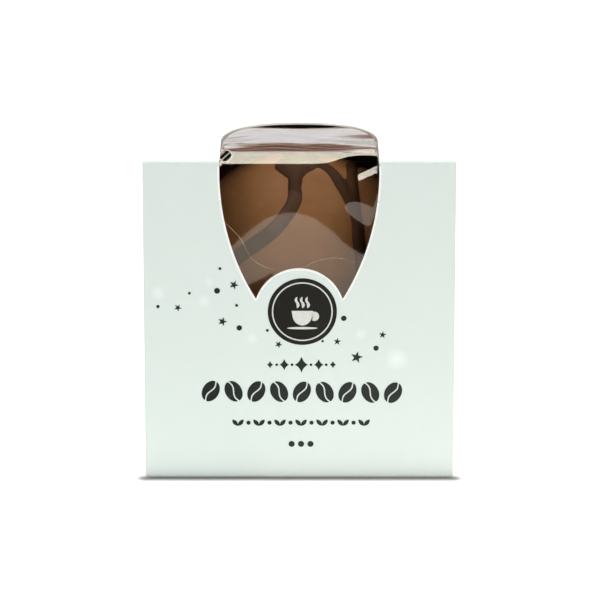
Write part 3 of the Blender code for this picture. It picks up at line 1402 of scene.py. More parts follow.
@dataclass
class WindowFilm:
    """The clear film glued behind the window, which springs up along the top crease.

    Where it is glued it lies on the board. Between, it bends in a wider curve, and its
    top goes on by tilts in degrees, above 0 where it falls to the back. The rear dent
    bends the glued rim too.
    """

    low: Vector
    high: Vector
    carton: Carton
    thickness: float = 0.06 * MM
    glue: float = 0.06 * MM
    glued_bend: float = 1.6 * MM
    free_bend: float = 4.76 * MM
    crown: float = 0.75 * MM
    columns: int = 150
    front_rows: int = 46
    bend_rows: int = 56
    top_rows: int = 116
    pinned_for: float = 0.1 * MM
    free_on_top: float = 1.0 * MM
    free_in_front: float = 0.6 * MM
    free_at_crease: float = 0.5 * MM
    by_crease: float = 4 * MM
    past_crease: float = 9 * MM
    pinch: float = 0.12
    pinch_reach: float = 1.02
    pinch_least: float = 0.03
    ripple_from: float = 0.5 * MM
    ripple_full: float = 3 * MM
    tilts: tuple[Pair, ...] = (
        (0.0, 0.0),
        (0.5 * MM, 5.5),
        (12.5 * MM, 5.5),
        (16.5 * MM, -0.8),
        (19.0 * MM, -1.4),
        (60.0 * MM, -1.4),
    )
    ripples: tuple[Ripple, ...] = (
        Ripple(3.1 * MM, 0.7, 0.3),
        Ripple(1.7 * MM, 0.4, 1.1),
        Ripple(5.3 * MM, 0.7, 2.0),
    )
    dents: tuple[Dent, ...] = (
        Dent(15.6 * MM, 4.7 * MM, 6.2 * MM, 2.4 * MM, 14.0, 1.0 * MM, 1.1 * MM),
        Dent(16.2 * MM, -1.1 * MM, 7.4 * MM, 1.6 * MM, 42.0, -2.05 * MM, 5.2 * MM, 3.6),
        Dent(17.8 * MM, -11.2 * MM, 5.7 * MM, 2.8 * MM, -27.0, 0.27 * MM),
        Dent(17.0 * MM, 18.0 * MM, 9.5 * MM, 2.4 * MM, -28.0, 0.85 * MM, 5.8 * MM),
        Dent(-18.0 * MM, 14.0 * MM, 5.0 * MM, 2.2 * MM, 24.0, 0.34 * MM, 2.6 * MM),
        Dent(-15.5 * MM, 22.0 * MM, 6.0 * MM, 1.8 * MM, 30.0, 0.20 * MM),
    )
    rear_dent: Dent = Dent(0.3 * MM, 38.6 * MM, 15.5 * MM, 3.4 * MM, 0.0, -1.0 * MM)

    def __post_init__(self) -> None:
        """Work out where the film's upright part stands."""
        self.front = self.carton.board + self.glue - self.carton.depth / 2

    def rows(self, bend: float, top: float) -> np.ndarray:
        """Return a plain bent section.

        Args:
            bend: its bend's radius.
            top: the z of its level part.

        Returns:
            Its (y, z) points from the bottom up and back.
        """
        upright = np.linspace(self.low.z, top - bend, self.front_rows, endpoint=False)
        angle = np.linspace(0.0, QUARTER, self.bend_rows, endpoint=False)
        level = np.linspace(self.front + bend, self.high.y, self.top_rows)
        bend_y = self.front + bend * (1 - np.cos(angle))
        bend_z = top - bend * (1 - np.sin(angle))
        y = np.concatenate([np.full(self.front_rows, self.front), bend_y, level])
        z = np.concatenate([upright, bend_z, np.full(self.top_rows, top)])
        return np.stack([y, z], axis=1)

    def fallen(self, back: np.ndarray) -> np.ndarray:
        """Add up the tilts.

        Args:
            back: distances behind the bend.

        Returns:
            How far the free top has fallen at each.
        """
        places, tilts = np.array(self.tilts).T
        steps = np.linspace(0.0, places[-1], 600)
        slope = np.tan(np.radians(np.interp(steps, places, tilts)))
        fall = np.concatenate([[0.0], np.cumsum((slope[1:] + slope[:-1]) / 2 * np.diff(steps))])
        return np.interp(back, steps, fall)

    def raised(self, across: np.ndarray, along: np.ndarray, bend_back: float) -> np.ndarray:
        """Add up the free film's fall, ripples and dents.

        Args:
            across: x, for an array of points.
            along: their distance back from the crease.
            bend_back: where the bend ends.

        Returns:
            How far each stands out from the plain section.
        """
        reach = self.pinch_reach * self.carton.window.half_width
        closeness = np.clip(1 - (across / reach) ** 2, self.pinch_least, 1.0) ** self.pinch
        back = np.maximum(along - bend_back, 0.0) / closeness
        settled = smooth_step(self.ripple_from, self.ripple_full, back)
        lift = -self.fallen(back) * closeness
        for ripple in self.ripples:
            lift = lift + ripple.over(across, back) * closeness * settled
        for dent in self.dents:
            lift = lift + dent.over(across, along)
        return lift

    def freedom(self, across: np.ndarray, along: np.ndarray) -> np.ndarray:
        """Find how far the film is from its glued rim.

        Args:
            across: x, for an array of points.
            along: their distance back from the crease.

        Returns:
            0 where it is glued, up to 1 where it hangs free.
        """
        inside = self.carton.window.inside(across, along)
        on_top = smooth_step(self.pinned_for, self.free_on_top, inside)
        in_front = smooth_step(self.pinned_for, self.free_in_front, inside)
        at_crease = smooth_step(self.pinned_for, self.free_at_crease, inside)
        share = on_top + (in_front - on_top) * (1 - smooth_step(-self.by_crease, self.by_crease, along))
        near = 1 - smooth_step(self.by_crease, self.past_crease, np.abs(along))
        return share + (at_crease - share) * near

    def build(self, finish: ClearFilm) -> Object:
        """Bend, crease and thicken the sheet.

        Args:
            finish: the film's finish.

        Returns:
            The film.
        """
        carton = self.carton
        glued = self.rows(self.glued_bend, carton.height - carton.board - self.glue)
        free = self.rows(self.free_bend, carton.height + self.crown)
        bend = slice(self.front_rows, self.front_rows + self.bend_rows)
        angle = np.zeros(len(free))
        angle[self.front_rows:] = QUARTER
        angle[bend] = np.linspace(0.0, QUARTER, self.bend_rows, endpoint=False)
        bend_top = free[self.front_rows, 1] - carton.height
        bend_back = self.free_bend + self.front + carton.depth / 2
        along = np.where(angle > 0, free[:, 0] + carton.depth / 2, free[:, 1] - carton.height)
        along[bend] = bend_top + (bend_back - bend_top) * angle[bend] / QUARTER
        across, along = np.meshgrid(np.linspace(self.low.x, self.high.x, self.columns), along)
        upright = np.cos(angle)[:, None]
        level = np.sin(angle)[:, None]
        lift = self.raised(across, along, bend_back)
        share = self.freedom(across, along)
        y = glued[:, :1] + share * (free[:, :1] - upright * lift - glued[:, :1])
        z = glued[:, 1:] + share * (free[:, 1:] + level * lift - glued[:, 1:])
        z = z + level * self.rear_dent.over(across, along)
        y = y - upright * carton.bow(Panel.FRONT, across, z)
        z = z + level * carton.top_bow(across, y)
        points = np.stack([across, y, z], axis=2).reshape(-1, 3)
        faces = []
        for row in range(len(free) - 1):
            for column in range(self.columns - 1):
                corner = row * self.columns + column
                faces.append((corner, corner + 1, corner + self.columns + 1, corner + self.columns))
        film = mesh_from("creased_film", points, faces, finish.material())
        sheet = film.modifiers.new("sheet", "SOLIDIFY")
        sheet.thickness = self.thickness
        sheet.offset = -1.0
        return ship(settle(film), "window_film", 60.0)


# The ball

POURED_LINES: tuple[tuple[Place, ...], ...] = (
    (
        (-158, 66, 1.0), (-163, 46, 1.1), (178, 26, 0.9), (110, 6, 1.0), (-10, 8, 2.6),
        (-9, 14, 2.7), (-6, 18, 1.9), (-4, 22.5, 1.0), (-4, 28, 0.9), (-4, 37, 1.0),
        (-14, 50, 1.15), (-32, 65, 1.3), (-43, 75, 1.3),
    ),
    (
        (-170, 12, 1.0), (-60, 3, 1.0), (43, 17, 1.0), (36, 31, 0.95),
        (34, 44, 0.95), (30, 55, 0.95), (28, 65, 0.95), (28, 77, 1.0),
    ),
    (
        (152, 70, 1.2), (142, 50, 1.1), (118, 31, 0.9), (90, 22, 0.9),
        (61, 25, 0.9), (45, 32, 0.9), (35, 42, 0.95),
    ),
    (
        (-62, 76, 1.2), (-74, 57, 1.1), (-83, 41, 1.0), (-98, 30, 0.9), (-128, 22, 0.9),
        (170, 19, 1.0), (150, 34, 1.0), (163, 56, 1.1), (168, 72, 1.2),
    ),
    ((60, 77, 1.1), (72, 57, 1.0), (88, 40, 0.9), (118, 52, 1.0), (110, 72, 1.2)),
    ((-100, 75, 1.2), (-112, 55, 1.0), (-132, 42, 0.9), (-122, 66, 1.1)),
)


@dataclass
class ChocolateBall:
    """The moulded ball and the dark lines poured over it.

    A line's stops are given as degrees round from the front towards +X, degrees down from
    the top and its share of the common width there.
    """

    low: Vector
    high: Vector
    radius: float = 34 * MM
    lines: tuple[tuple[Place, ...], ...] = POURED_LINES
    detail: int = 7
    line_detail: int = 8
    waviness: float = 0.07 * MM
    seam_height: float = 0.12 * MM
    seam_width: float = 0.35 * MM
    half_line: float = 1.7 * MM
    line_height: float = 0.72 * MM
    line_fullness: float = 2.6
    pool_radius: float = 5.0 * MM
    pool_at: Pair = (-6.0, 10.5)
    sunk: float = 0.4 * MM
    edge_waves: float = 7 * MM
    edge_sway: float = 0.24
    cut_off: float = 1.35
    smoothing: int = 5
    point_every: float = 1.2 * MM

    def __post_init__(self) -> None:
        """Work out the ball's centre, as it stands on the lowest point of its box."""
        self.centre = Vector((0.0, 0.0, self.low.z + self.radius))

    def way_out(self, round_angle: float, down_angle: float) -> Vector:
        """Point from the ball's centre to a place on it.

        Args:
            round_angle: degrees round from the front towards +X.
            down_angle: degrees down from the top.

        Returns:
            The direction.
        """
        turn = math.radians(round_angle)
        fall = math.radians(down_angle)
        return Vector((math.sin(fall) * math.sin(turn), -math.sin(fall) * math.cos(turn), math.cos(fall)))

    def smooth_line(self, stops: Sequence[Place]) -> tuple[list[Vector], list[float]]:
        """Draw a smooth curve over the ball.

        Args:
            stops: what it passes through.

        Returns:
            Its points, and the share of the common width at each.
        """
        ways = [self.way_out(round_angle, down_angle) for round_angle, down_angle, _ in stops]
        knots = [2 * ways[0] - ways[1]] + ways + [2 * ways[-1] - ways[-2]]
        points = []
        widths = []
        for number, (before, start, end, after) in enumerate(zip(knots, knots[1:], knots[2:], knots[3:])):
            steps = max(2, round(self.radius * start.angle(end) / self.point_every))
            for step in range(steps):
                part = step / steps
                way = 0.5 * (
                    2 * start
                    + (end - before) * part
                    + (2 * before - 5 * start + 4 * end - after) * part**2
                    + (3 * start - before - 3 * end + after) * part**3
                )
                points.append(self.centre + self.radius * way.normalized())
                widths.append(stops[number][2] + (stops[number + 1][2] - stops[number][2]) * part)
        points.append(self.centre + self.radius * ways[-1])
        widths.append(stops[-1][2])
        return points, widths

    def guide(self) -> Object:
        """Draw the middles of all lines.

        Returns:
            A mesh of edges that carry their width shares.
        """
        points: list[Vector] = []
        edges: list[tuple[int, int]] = []
        widths: list[float] = []
        for stops in self.lines:
            first = len(points)
            more, shares = self.smooth_line(stops)
            points += more
            widths += shares
            edges += [(number, number + 1) for number in range(first, len(points) - 1)]
        mesh = bpy.data.meshes.new("routes")
        mesh.from_pydata([tuple(point) for point in points], edges, [])
        set_mark(mesh, "width", widths)
        return place_mesh("routes", mesh)

    def build_ball(self, finish: Chocolate) -> Object:
        """Make the moulded ball, faintly uneven, with the seam of its two halves.

        Args:
            finish: its chocolate.

        Returns:
            The ball.
        """
        shape = bmesh.new()
        bmesh.ops.create_icosphere(shape, subdivisions=self.detail, radius=1.0)
        for vert in shape.verts:
            way = vert.co.normalized()
            uneven = math.sin(5 * way.x + 1.3) * math.sin(4 * way.y + 0.4)
            uneven += math.sin(7 * way.z + 3 * way.x)
            seam = math.exp(-((way.z * self.radius / self.seam_width) ** 2))
            reach = self.radius + 0.5 * self.waviness * uneven - self.waviness + self.seam_height * seam
            vert.co = self.centre + way * reach
        ball = from_shape("milk_ball", shape, finish.material())
        return ship(ball, "chocolate_ball", 60.0)

    def relief(self, recipe: Recipe, wires: NodeSocket) -> Value:
        """Work out how high the lines and their pool stand at a place on the ball.

        Args:
            recipe: the tree that asks.
            wires: the lines' middles.

        Returns:
            The height, below 0 beside the lines.
        """
        half = recipe.number("Half Width", self.half_line)
        tall = recipe.number("Line Height", self.line_height)
        full = recipe.number("Fullness", self.line_fullness)
        pool_radius = recipe.number("Pool Radius", self.pool_radius)
        pool_at = self.centre + self.radius * self.way_out(*self.pool_at)
        pool = recipe.take("Pool Centre", "NodeSocketVector", tuple(pool_at))
        near = recipe.node("GeometryNodeProximity", {"target_element": "EDGES"}, {0: wires})
        nearest = recipe.node("GeometryNodeSampleNearest", {"domain": "POINT"}, {0: wires})
        share = recipe.node(
            "GeometryNodeSampleIndex",
            {"data_type": "FLOAT", "domain": "POINT"},
            {"Geometry": wires, "Value": recipe.stored("width"), "Index": nearest},
        )
        place = recipe.node("GeometryNodeInputPosition")
        sway = 1 + self.edge_sway * (recipe.noise(place, self.edge_waves, 2.0) - 0.5)
        wide = half * recipe.value(share)
        aside = recipe.value(near.outputs["Distance"]) / wide * sway
        from_pool = recipe.distance(place, pool) / pool_radius
        level = tall * (1.0 - aside.least(from_pool).least(self.cut_off) ** full)
        inputs = {0: level, "Iterations": self.smoothing, "Weight": 1.0}
        return recipe.value(recipe.node("GeometryNodeBlurAttribute", {"data_type": "FLOAT"}, inputs))

    def build_lines(self, finish: Chocolate) -> Object:
        """Raise the dark lines as one smooth relief with wetted joints.

        Args:
            finish: their chocolate.

        Returns:
            The lines.
        """
        guide = self.guide()
        recipe = Recipe("poured_lines")
        routes = recipe.take("Routes", "NodeSocketObject", guide)
        centre = recipe.take("Ball Centre", "NodeSocketVector", tuple(self.centre))
        radius = recipe.number("Ball Radius", self.radius)
        sunk = recipe.number("Sunk", self.sunk)
        sizes = {"Radius": radius, "Subdivisions": self.line_detail}
        ball = recipe.node("GeometryNodeMeshIcoSphere", None, sizes)
        moved = recipe.node("GeometryNodeTransform", None, {"Geometry": ball, "Translation": centre})
        paths = recipe.node("GeometryNodeObjectInfo", None, {0: routes})
        level = self.relief(recipe, paths.outputs["Geometry"])
        stored = recipe.node(
            "GeometryNodeStoreNamedAttribute",
            {"data_type": "FLOAT", "domain": "POINT"},
            {"Geometry": moved, "Name": "level", "Value": level},
        )
        height = recipe.value(recipe.stored("level"))
        beside = {0: stored, "Selection": height.below(-sunk)}
        cut = recipe.node("GeometryNodeDeleteGeometry", {"domain": "POINT"}, beside)
        out = recipe.node("GeometryNodeInputNormal")
        rise = recipe.node("ShaderNodeVectorMath", {"operation": "SCALE"}, {0: out, "Scale": height})
        lifted = recipe.node("GeometryNodeSetPosition", None, {0: cut, "Offset": rise})
        lines = recipe.make("dark_lines", lifted, finish.material())
        bpy.data.objects.remove(guide, do_unlink=True)
        body = lines.modifiers.new("body", "SOLIDIFY")
        body.thickness = self.sunk
        body.offset = -1.0
        return ship(settle(lines), "chocolate_ball", 60.0)


# The print


@dataclass(frozen=True)
class Spark:
    """A printed star or dot: metres across and up its panel, and its radius."""

    across: float
    up: float
    radius: float


def sparks(*rows: Place) -> tuple[Spark, ...]:
    """Return sparks from rows of millimetres."""
    return tuple(Spark(across * MM, up * MM, radius * MM) for across, up, radius in rows)


FRONT_STARS = sparks(
    (-15.1, 46.5, 1.15), (-28.1, 41.0, 0.92), (-17.8, 37.7, 1.15), (-4.8, 32.2, 0.92),
    (19.3, 34.5, 0.92), (8.8, 32.9, 0.92), (13.3, 29.1, 1.49),
)
FRONT_DOTS = sparks(
    (-18.3, 50.4, 0.34), (-19.0, 45.1, 0.69), (-25.4, 44.5, 0.34), (-32.7, 41.3, 0.39),
    (-14.5, 41.6, 0.34), (-13.9, 36.2, 0.64), (-7.4, 35.6, 0.34), (10.3, 38.5, 0.64),
    (5.4, 33.0, 0.30), (17.8, 31.3, 0.62),
)


def oval(middle: Pair, half_width: float, half_height: float, steps: int) -> list[Pair]:
    """Return an ellipse as a closed outline."""
    angles = [2 * math.pi * step / steps for step in range(steps)]
    return [(middle[0] + half_width * math.cos(a), middle[1] + half_height * math.sin(a)) for a in angles]


def disc(middle: Pair, radius: float, steps: int) -> list[Pair]:
    """Return a circle as a closed outline."""
    return oval(middle, radius, radius, steps)


def diamond(middle: Pair, half: float, fullness: float = 0.75, slimness: float = 0.8) -> list[Pair]:
    """Draw a diamond with hollow sides.

    Args:
        middle: its centre as (across, up).
        half: half its height.
        fullness: 1 for straight sides, and less for hollow ones.
        slimness: its width as a share of its height.

    Returns:
        Its closed outline.
    """
    points = []
    steps = 24
    for step in range(steps):
        angle = 2 * math.pi * step / steps
        spread = abs(math.cos(angle)) ** fullness + abs(math.sin(angle)) ** fullness
        reach = half / spread ** (1 / fullness)
        across = middle[0] + slimness * reach * math.cos(angle)
        points.append((across, middle[1] + reach * math.sin(angle)))
    return points


def leaf(foot: Pair, length: float, width: float, turn: float) -> list[Pair]:
    """Draw a pointed leaf.

    Args:
        foot: the place half its height above where it grows from.
        length: its length.
        width: its greatest width.
        turn: the way that it grows, in radians up from the right.

    Returns:
        Its closed outline.
    """
    points = []
    steps = 10
    along = Vector((math.cos(turn), math.sin(turn)))
    beside = Vector((-along.y, along.x))
    root = Vector((foot[0], foot[1] - 0.5 * length * along.y))
    for side in (1, -1):
        for step in range(steps):
            share = step / steps if side > 0 else 1 - step / steps
            half = width / 2 * math.sin(math.pi * share) ** 0.8 if 0 < share < 1 else 0.0
            points.append(tuple(root + along * length * share + beside * side * half))
    return points


def band_along(line: Sequence[Pair], halves: Sequence[float]) -> list[Pair]:
    """Draw a band along a line.

    Args:
        line: its middle.
        halves: its half width at each point of the middle.

    Returns:
        Its closed outline.
    """
    left = []
    right = []
    for number, (point, half) in enumerate(zip(line, halves)):
        before = Vector(line[max(0, number - 1)])
        after = Vector(line[min(len(line) - 1, number + 1)])
        way = (after - before).normalized()
        aside = Vector((-way.y, way.x)) * half
        left.append(tuple(Vector(point) + aside))
        right.append(tuple(Vector(point) - aside))
    return left + right[::-1]


def arc_band(middle: Pair, radius: float, width: float, start: float, end: float) -> list[Pair]:
    """Draw a band round an arc.

    Args:
        middle: the arc's centre.
        radius: its radius.
        width: the band's width.
        start: the angle at which it starts, in degrees up from the right.
        end: the angle at which it ends.

    Returns:
        Its closed outline.
    """
    steps = max(8, round(abs(end - start) / 5))
    angles = [math.radians(start + (end - start) * step / steps) for step in range(steps + 1)]
    line = [(middle[0] + radius * math.cos(a), middle[1] + radius * math.sin(a)) for a in angles]
    return band_along(line, [width / 2] * len(line))


@dataclass(frozen=True)
class SealCup:
    """A steaming cup on its saucer, by the middle of its bowl."""

    across: float
    up: float
    lip: float = 2.5 * MM
    lip_up: float = 1.4 * MM
    belly: float = 2.3 * MM
    belly_up: float = 0.5 * MM
    belly_depth: float = 2.6 * MM
    saucer_drop: float = 2.75 * MM
    saucer_half: float = 3.5 * MM
    saucer_thick: float = 0.28 * MM
    handle_at: Pair = (2.75 * MM, 0.1 * MM)
    handle_radius: float = 0.95 * MM
    handle_width: float = 0.34 * MM
    handle_turn: float = 120.0
    steam_apart: float = 1.2 * MM
    steam_foot: float = 2.1 * MM
    steam_height: float = 2.6 * MM
    steam_sway: float = 0.35 * MM
    steam_ends: float = 0.1 * MM
    steam_swell: float = 0.16 * MM
    steps: int = 16

    def outlines(self) -> list[list[Pair]]:
        """Draw the cup.

        Returns:
            The closed outlines of bowl, saucer, handle and steam.
        """
        shares = [step / self.steps for step in range(self.steps + 1)]
        bowl = [(self.across - self.lip, self.up + self.lip_up)]
        for share in shares:
            angle = math.pi * (1 + share)
            up = self.up + self.belly_up + self.belly_depth * math.sin(angle)
            bowl.append((self.across + self.belly * math.cos(angle), up))
        bowl.append((self.across + self.lip, self.up + self.lip_up))
        saucer = oval((self.across, self.up - self.saucer_drop), self.saucer_half, self.saucer_thick, 40)
        hub = (self.across + self.handle_at[0], self.up + self.handle_at[1])
        handle = arc_band(hub, self.handle_radius, self.handle_width, -self.handle_turn, self.handle_turn)
        shapes = [bowl, saucer, handle]
        halves = [self.steam_ends + self.steam_swell * math.sin(math.pi * share) for share in shares]
        for place in (-1, 0, 1):
            foot = self.across + place * self.steam_apart
            line = []
            for share in shares:
                up = self.up + self.steam_foot + self.steam_height * share
                line.append((foot + self.steam_sway * math.sin(2 * math.pi * share), up))
            shapes.append(band_along(line, halves))
        return shapes


@dataclass(frozen=True)
class BeanRow:
    """A row of beans that lean to and fro, from its left one."""

    count: int = 9
    left: float = -20.6 * MM
    up: float = 20.9 * MM
    pitch: float = 5.3 * MM
    fall: float = 0.05 * MM
    half_width: float = 1.95 * MM
    half_height: float = 2.65 * MM
    lean: float = 28.0
    groove: float = 0.17 * MM
    groove_sway: float = 0.2
    groove_reach: float = 0.97
    steps: int = 14

    def half_bean(self, middle: Vector, side: int, tilt: float) -> list[Pair]:
        """Draw one half of a bean, beside its swung groove.

        Args:
            middle: the bean's centre.
            side: -1 for its left half, or 1.
            tilt: how far the bean leans, in radians.

        Returns:
            The half's closed outline.
        """
        points = []
        for step in range(1, self.steps):
            angle = math.pi * step / self.steps
            points.append((side * self.half_width * math.sin(angle), self.half_height * math.cos(angle)))
        for step in range(self.steps + 1):
            up = self.groove_reach * (2 * step / self.steps - 1)
            sway = self.groove_sway * self.half_width * math.sin(math.pi * up)
            points.append((sway + side * self.groove, self.half_height * up))
        turn = Matrix.Rotation(tilt, 2)
        return [tuple(middle + turn @ Vector(point)) for point in points]

    def outlines(self) -> list[list[Pair]]:
        """Draw the row.

        Returns:
            The closed outlines of its half beans.
        """
        shapes = []
        for number in range(self.count):
            middle = Vector((self.left + self.pitch * number, self.up - self.fall * number))
            tilt = math.radians(self.lean if number % 2 else -self.lean)
            shapes += [self.half_bean(middle, side, tilt) for side in (-1, 1)]
        return shapes


@dataclass(frozen=True)
class Ornaments:
    """Small ornaments: diamonds over the beans, leaves under them and three dots."""

    diamonds_at: Pair = (0.5 * MM, 27.3 * MM)
    diamonds: tuple[Pair, ...] = ((-7.3, 0.9), (-4.0, 1.35), (0.0, 1.9), (4.0, 1.35), (7.3, 0.9))
    between: tuple[float, ...] = (-5.75, -2.2, 2.2, 5.75)
    between_radius: float = 0.32 * MM
    leaves_at: Pair = (0.4 * MM, 13.2 * MM)
    leaves_each_side: int = 6
    leaf_pitch: float = 2.45 * MM
    leaf_length: float = 2.0 * MM
    leaf_width: float = 0.95 * MM
    leaf_turns: Pair = (0.85, 2.29)
    bud_radius: float = 0.5 * MM
    dots_at: Pair = (0.4 * MM, 8.0 * MM)
    dot_pitch: float = 2.2 * MM
    dot_radius: float = 0.72 * MM

    def outlines(self) -> list[list[Pair]]:
        """Draw the ornaments.

        Returns:
            Their closed outlines.
        """
        across, up = self.diamonds_at
        shapes = [diamond((across + aside * MM, up), half * MM) for aside, half in self.diamonds]
        shapes += [disc((across + aside * MM, up), self.between_radius, 12) for aside in self.between]
        across, up = self.leaves_at
        for number in range(-self.leaves_each_side, self.leaves_each_side + 1):
            middle = (across + self.leaf_pitch * number, up)
            if number % 2:
                shapes.append(disc(middle, self.bud_radius, 14))
            else:
                size = (self.leaf_length, self.leaf_width)
                shapes += [leaf(middle, *size, turn) for turn in self.leaf_turns]
        across, up = self.dots_at
        middles = [(across + place * self.dot_pitch, up) for place in (-1, 0, 1)]
        shapes += [disc(middle, self.dot_radius, 18) for middle in middles]
        return shapes


@dataclass
class Print:
    """The raised print: stars and dots round the carton, a round seal and rows of beans."""

    carton: Carton
    thickness: float = 0.06 * MM
    proud: float = 0.035 * MM
    layer: float = 0.02 * MM
    star_points: int = 5
    star_waist: float = 0.4
    dot_points: int = 12
    seed: int = 7
    sway: float = 0.35
    side_stars: int = 6
    side_dots: int = 9
    side_low: float = 28 * MM
    side_high: float = 52 * MM
    side_margin: float = 5 * MM
    apart: float = 3.4 * MM
    seal_at: Pair = (0.7 * MM, 40.1 * MM)
    seal_radius: float = 8.0 * MM
    ring_radius: float = 6.9 * MM
    ring_width: float = 0.3 * MM
    cup_drop: float = 1.2 * MM

    def scattered(self, count: int, radii: Sequence[float], taken: list[Pair], draw: Any) -> list[Spark]:
        """Spread sparks over a side panel.

        Args:
            count: how many.
            radii: the sizes to choose from.
            taken: the places already used, which grows.
            draw: the random generator.

        Returns:
            The sparks.
        """
        found: list[Spark] = []
        reach = self.carton.width / 2 - self.side_margin
        while len(found) < count:
            across = float(draw.uniform(-reach, reach))
            up = float(draw.uniform(self.side_low, self.side_high))
            if all(math.dist((across, up), place) > self.apart for place in taken):
                taken.append((across, up))
                found.append(Spark(across, up, float(draw.choice(radii))))
        return found

    def seeds(self, groups: dict[Panel, Sequence[Spark]], draw: Any) -> Mesh:
        """Place a point for each spark.

        Args:
            groups: the sparks of each panel.
            draw: the random generator.

        Returns:
            A mesh of single points that carry each spark's size and turn.
        """
        points = []
        radii = []
        turns = []
        lift = self.proud - self.thickness
        for panel, listed in groups.items():
            for spark in listed:
                points.append(tuple(self.carton.on_panel(panel, spark.across, spark.up, lift)))
                radii.append(spark.radius)
                turn = float(draw.uniform(-self.sway, self.sway))
                turns.append((QUARTER, turn, math.radians(panel.value)))
        mesh = bpy.data.meshes.new("seeds")
        mesh.from_pydata(points, [], [])
        set_mark(mesh, "radius", radii)
        attribute = mesh.attributes.new("turn", "FLOAT_VECTOR", "POINT")
        attribute.data.foreach_set("vector", np.array(turns, np.float32).ravel())
        return mesh

    def scatter(
        self, name: str, mesh: Mesh, corners: int, waist: float, finish: Material
    ) -> Object:
        """Stamp a star, or with a waist of 1 a dot, on each seed.

        Args:
            name: the piece's name.
            mesh: the seeds.
            corners: the shape's points.
            waist: the inner radius as a share of the outer.
            finish: the ink.

        Returns:
            The stamped shapes as one piece.
        """
        recipe = Recipe(name)
        tips = recipe.take("Points", "NodeSocketInt", corners)
        inner = recipe.number("Waist", waist)
        thick = recipe.number("Thickness", self.thickness)
        sizes = {"Points": tips, "Inner Radius": inner, "Outer Radius": 1.0}
        star = recipe.node("GeometryNodeCurveStar", None, sizes)
        flat = recipe.node("GeometryNodeFillCurve", None, {0: star})
        under = recipe.node("GeometryNodeFlipFaces", None, {0: flat})
        raising = {"Mesh": flat, "Offset Scale": thick, "Individual": False}
        block = recipe.node("GeometryNodeExtrudeMesh", None, raising)
        solid = recipe.node("GeometryNodeJoinGeometry", None, {0: under})
        recipe.feed(solid.inputs[0], block)
        welded = recipe.node("GeometryNodeMergeByDistance", None, {0: solid, "Distance": 0.001 * MM})
        radius = recipe.stored("radius")
        size = recipe.node("ShaderNodeCombineXYZ", None, {0: radius, 1: radius, 2: 1.0})
        turn = recipe.stored("turn", "FLOAT_VECTOR")
        turned = recipe.node("FunctionNodeEulerToRotation", None, {0: turn})
        placing = {
            "Points": recipe.source.outputs["Geometry"],
            "Instance": welded,
            "Rotation": turned,
            "Scale": size,
        }
        stamped = recipe.node("GeometryNodeInstanceOnPoints", None, placing)
        return recipe.make(name, stamped, finish, mesh)

    def stamp(
        self, name: str, outlines: Sequence[Sequence[Pair]], finish: Material, layer: float = 0.0
    ) -> Object:
        """Print flat shapes as thin ink on the front panel.

        Args:
            name: the piece's name.
            outlines: closed outlines as (across, up).
            finish: the ink.
            layer: how far it lies above the first ink.

        Returns:
            The piece.
        """
        shape = bmesh.new()
        for outline in outlines:
            shape.faces.new([shape.verts.new((across, 0.0, up)) for across, up in outline])
        bmesh.ops.triangulate(shape, faces=shape.faces)
        rims = [tuple(edge.verts) for edge in shape.edges if edge.is_boundary]
        upper = {vert: shape.verts.new(vert.co) for vert in list(shape.verts)}
        for face in list(shape.faces):
            shape.faces.new([upper[vert] for vert in face.verts])
        for start, end in rims:
            shape.faces.new((start, end, upper[end], upper[start]))
        on_top = set(upper.values())
        for vert in shape.verts:
            lift = self.proud + layer - (0.0 if vert in on_top else self.thickness)
            vert.co = self.carton.on_panel(Panel.FRONT, vert.co.x, vert.co.z, lift)
        bmesh.ops.recalc_face_normals(shape, faces=shape.faces)
        return from_shape(name, shape, finish)

    def build_scatter(self, finish: Material) -> None:
        """Print the stars and dots: as listed on the front, and at random on the other sides.

        Args:
            finish: the ink.
        """
        draw = np.random.default_rng(self.seed)
        stars: dict[Panel, Sequence[Spark]] = {Panel.FRONT: FRONT_STARS}
        dots: dict[Panel, Sequence[Spark]] = {Panel.FRONT: FRONT_DOTS}
        for panel in (Panel.RIGHT, Panel.BACK, Panel.LEFT):
            taken: list[Pair] = []
            for groups, listed, count in (
                (stars, FRONT_STARS, self.side_stars),
                (dots, FRONT_DOTS, self.side_dots),
            ):
                radii = sorted({spark.radius for spark in listed})
                groups[panel] = self.scattered(count, radii, taken, draw)
        for name, groups, corners, waist in (
            ("printed_stars", stars, self.star_points, self.star_waist),
            ("printed_dots", dots, self.dot_points, 1.0),
        ):
            ship(self.scatter(name, self.seeds(groups, draw), corners, waist, finish))

    def build(self) -> None:
        """Print the carton."""
        dark = Ink(InkTone.DARK).material()
        seal = Ink(InkTone.SEAL).material()
        pale = Ink(InkTone.PALE).material()
        self.build_scatter(dark)
        across, up = self.seal_at
        circle = (self.seal_at, self.ring_radius, self.ring_width)
        ring = [arc_band(*circle, start, start + 180) for start in (0, 180)]
        cup = SealCup(across, up - self.cup_drop).outlines()
        ship(self.stamp("seal_disc", [disc(self.seal_at, self.seal_radius, 96)], seal))
        ship(self.stamp("seal_ring", ring, pale, self.layer))
        ship(self.stamp("seal_cup", cup, pale, self.layer))
        ship(self.stamp("bean_row", BeanRow().outlines(), dark))
        ship(self.stamp("printed_rules", Ornaments().outlines(), dark))


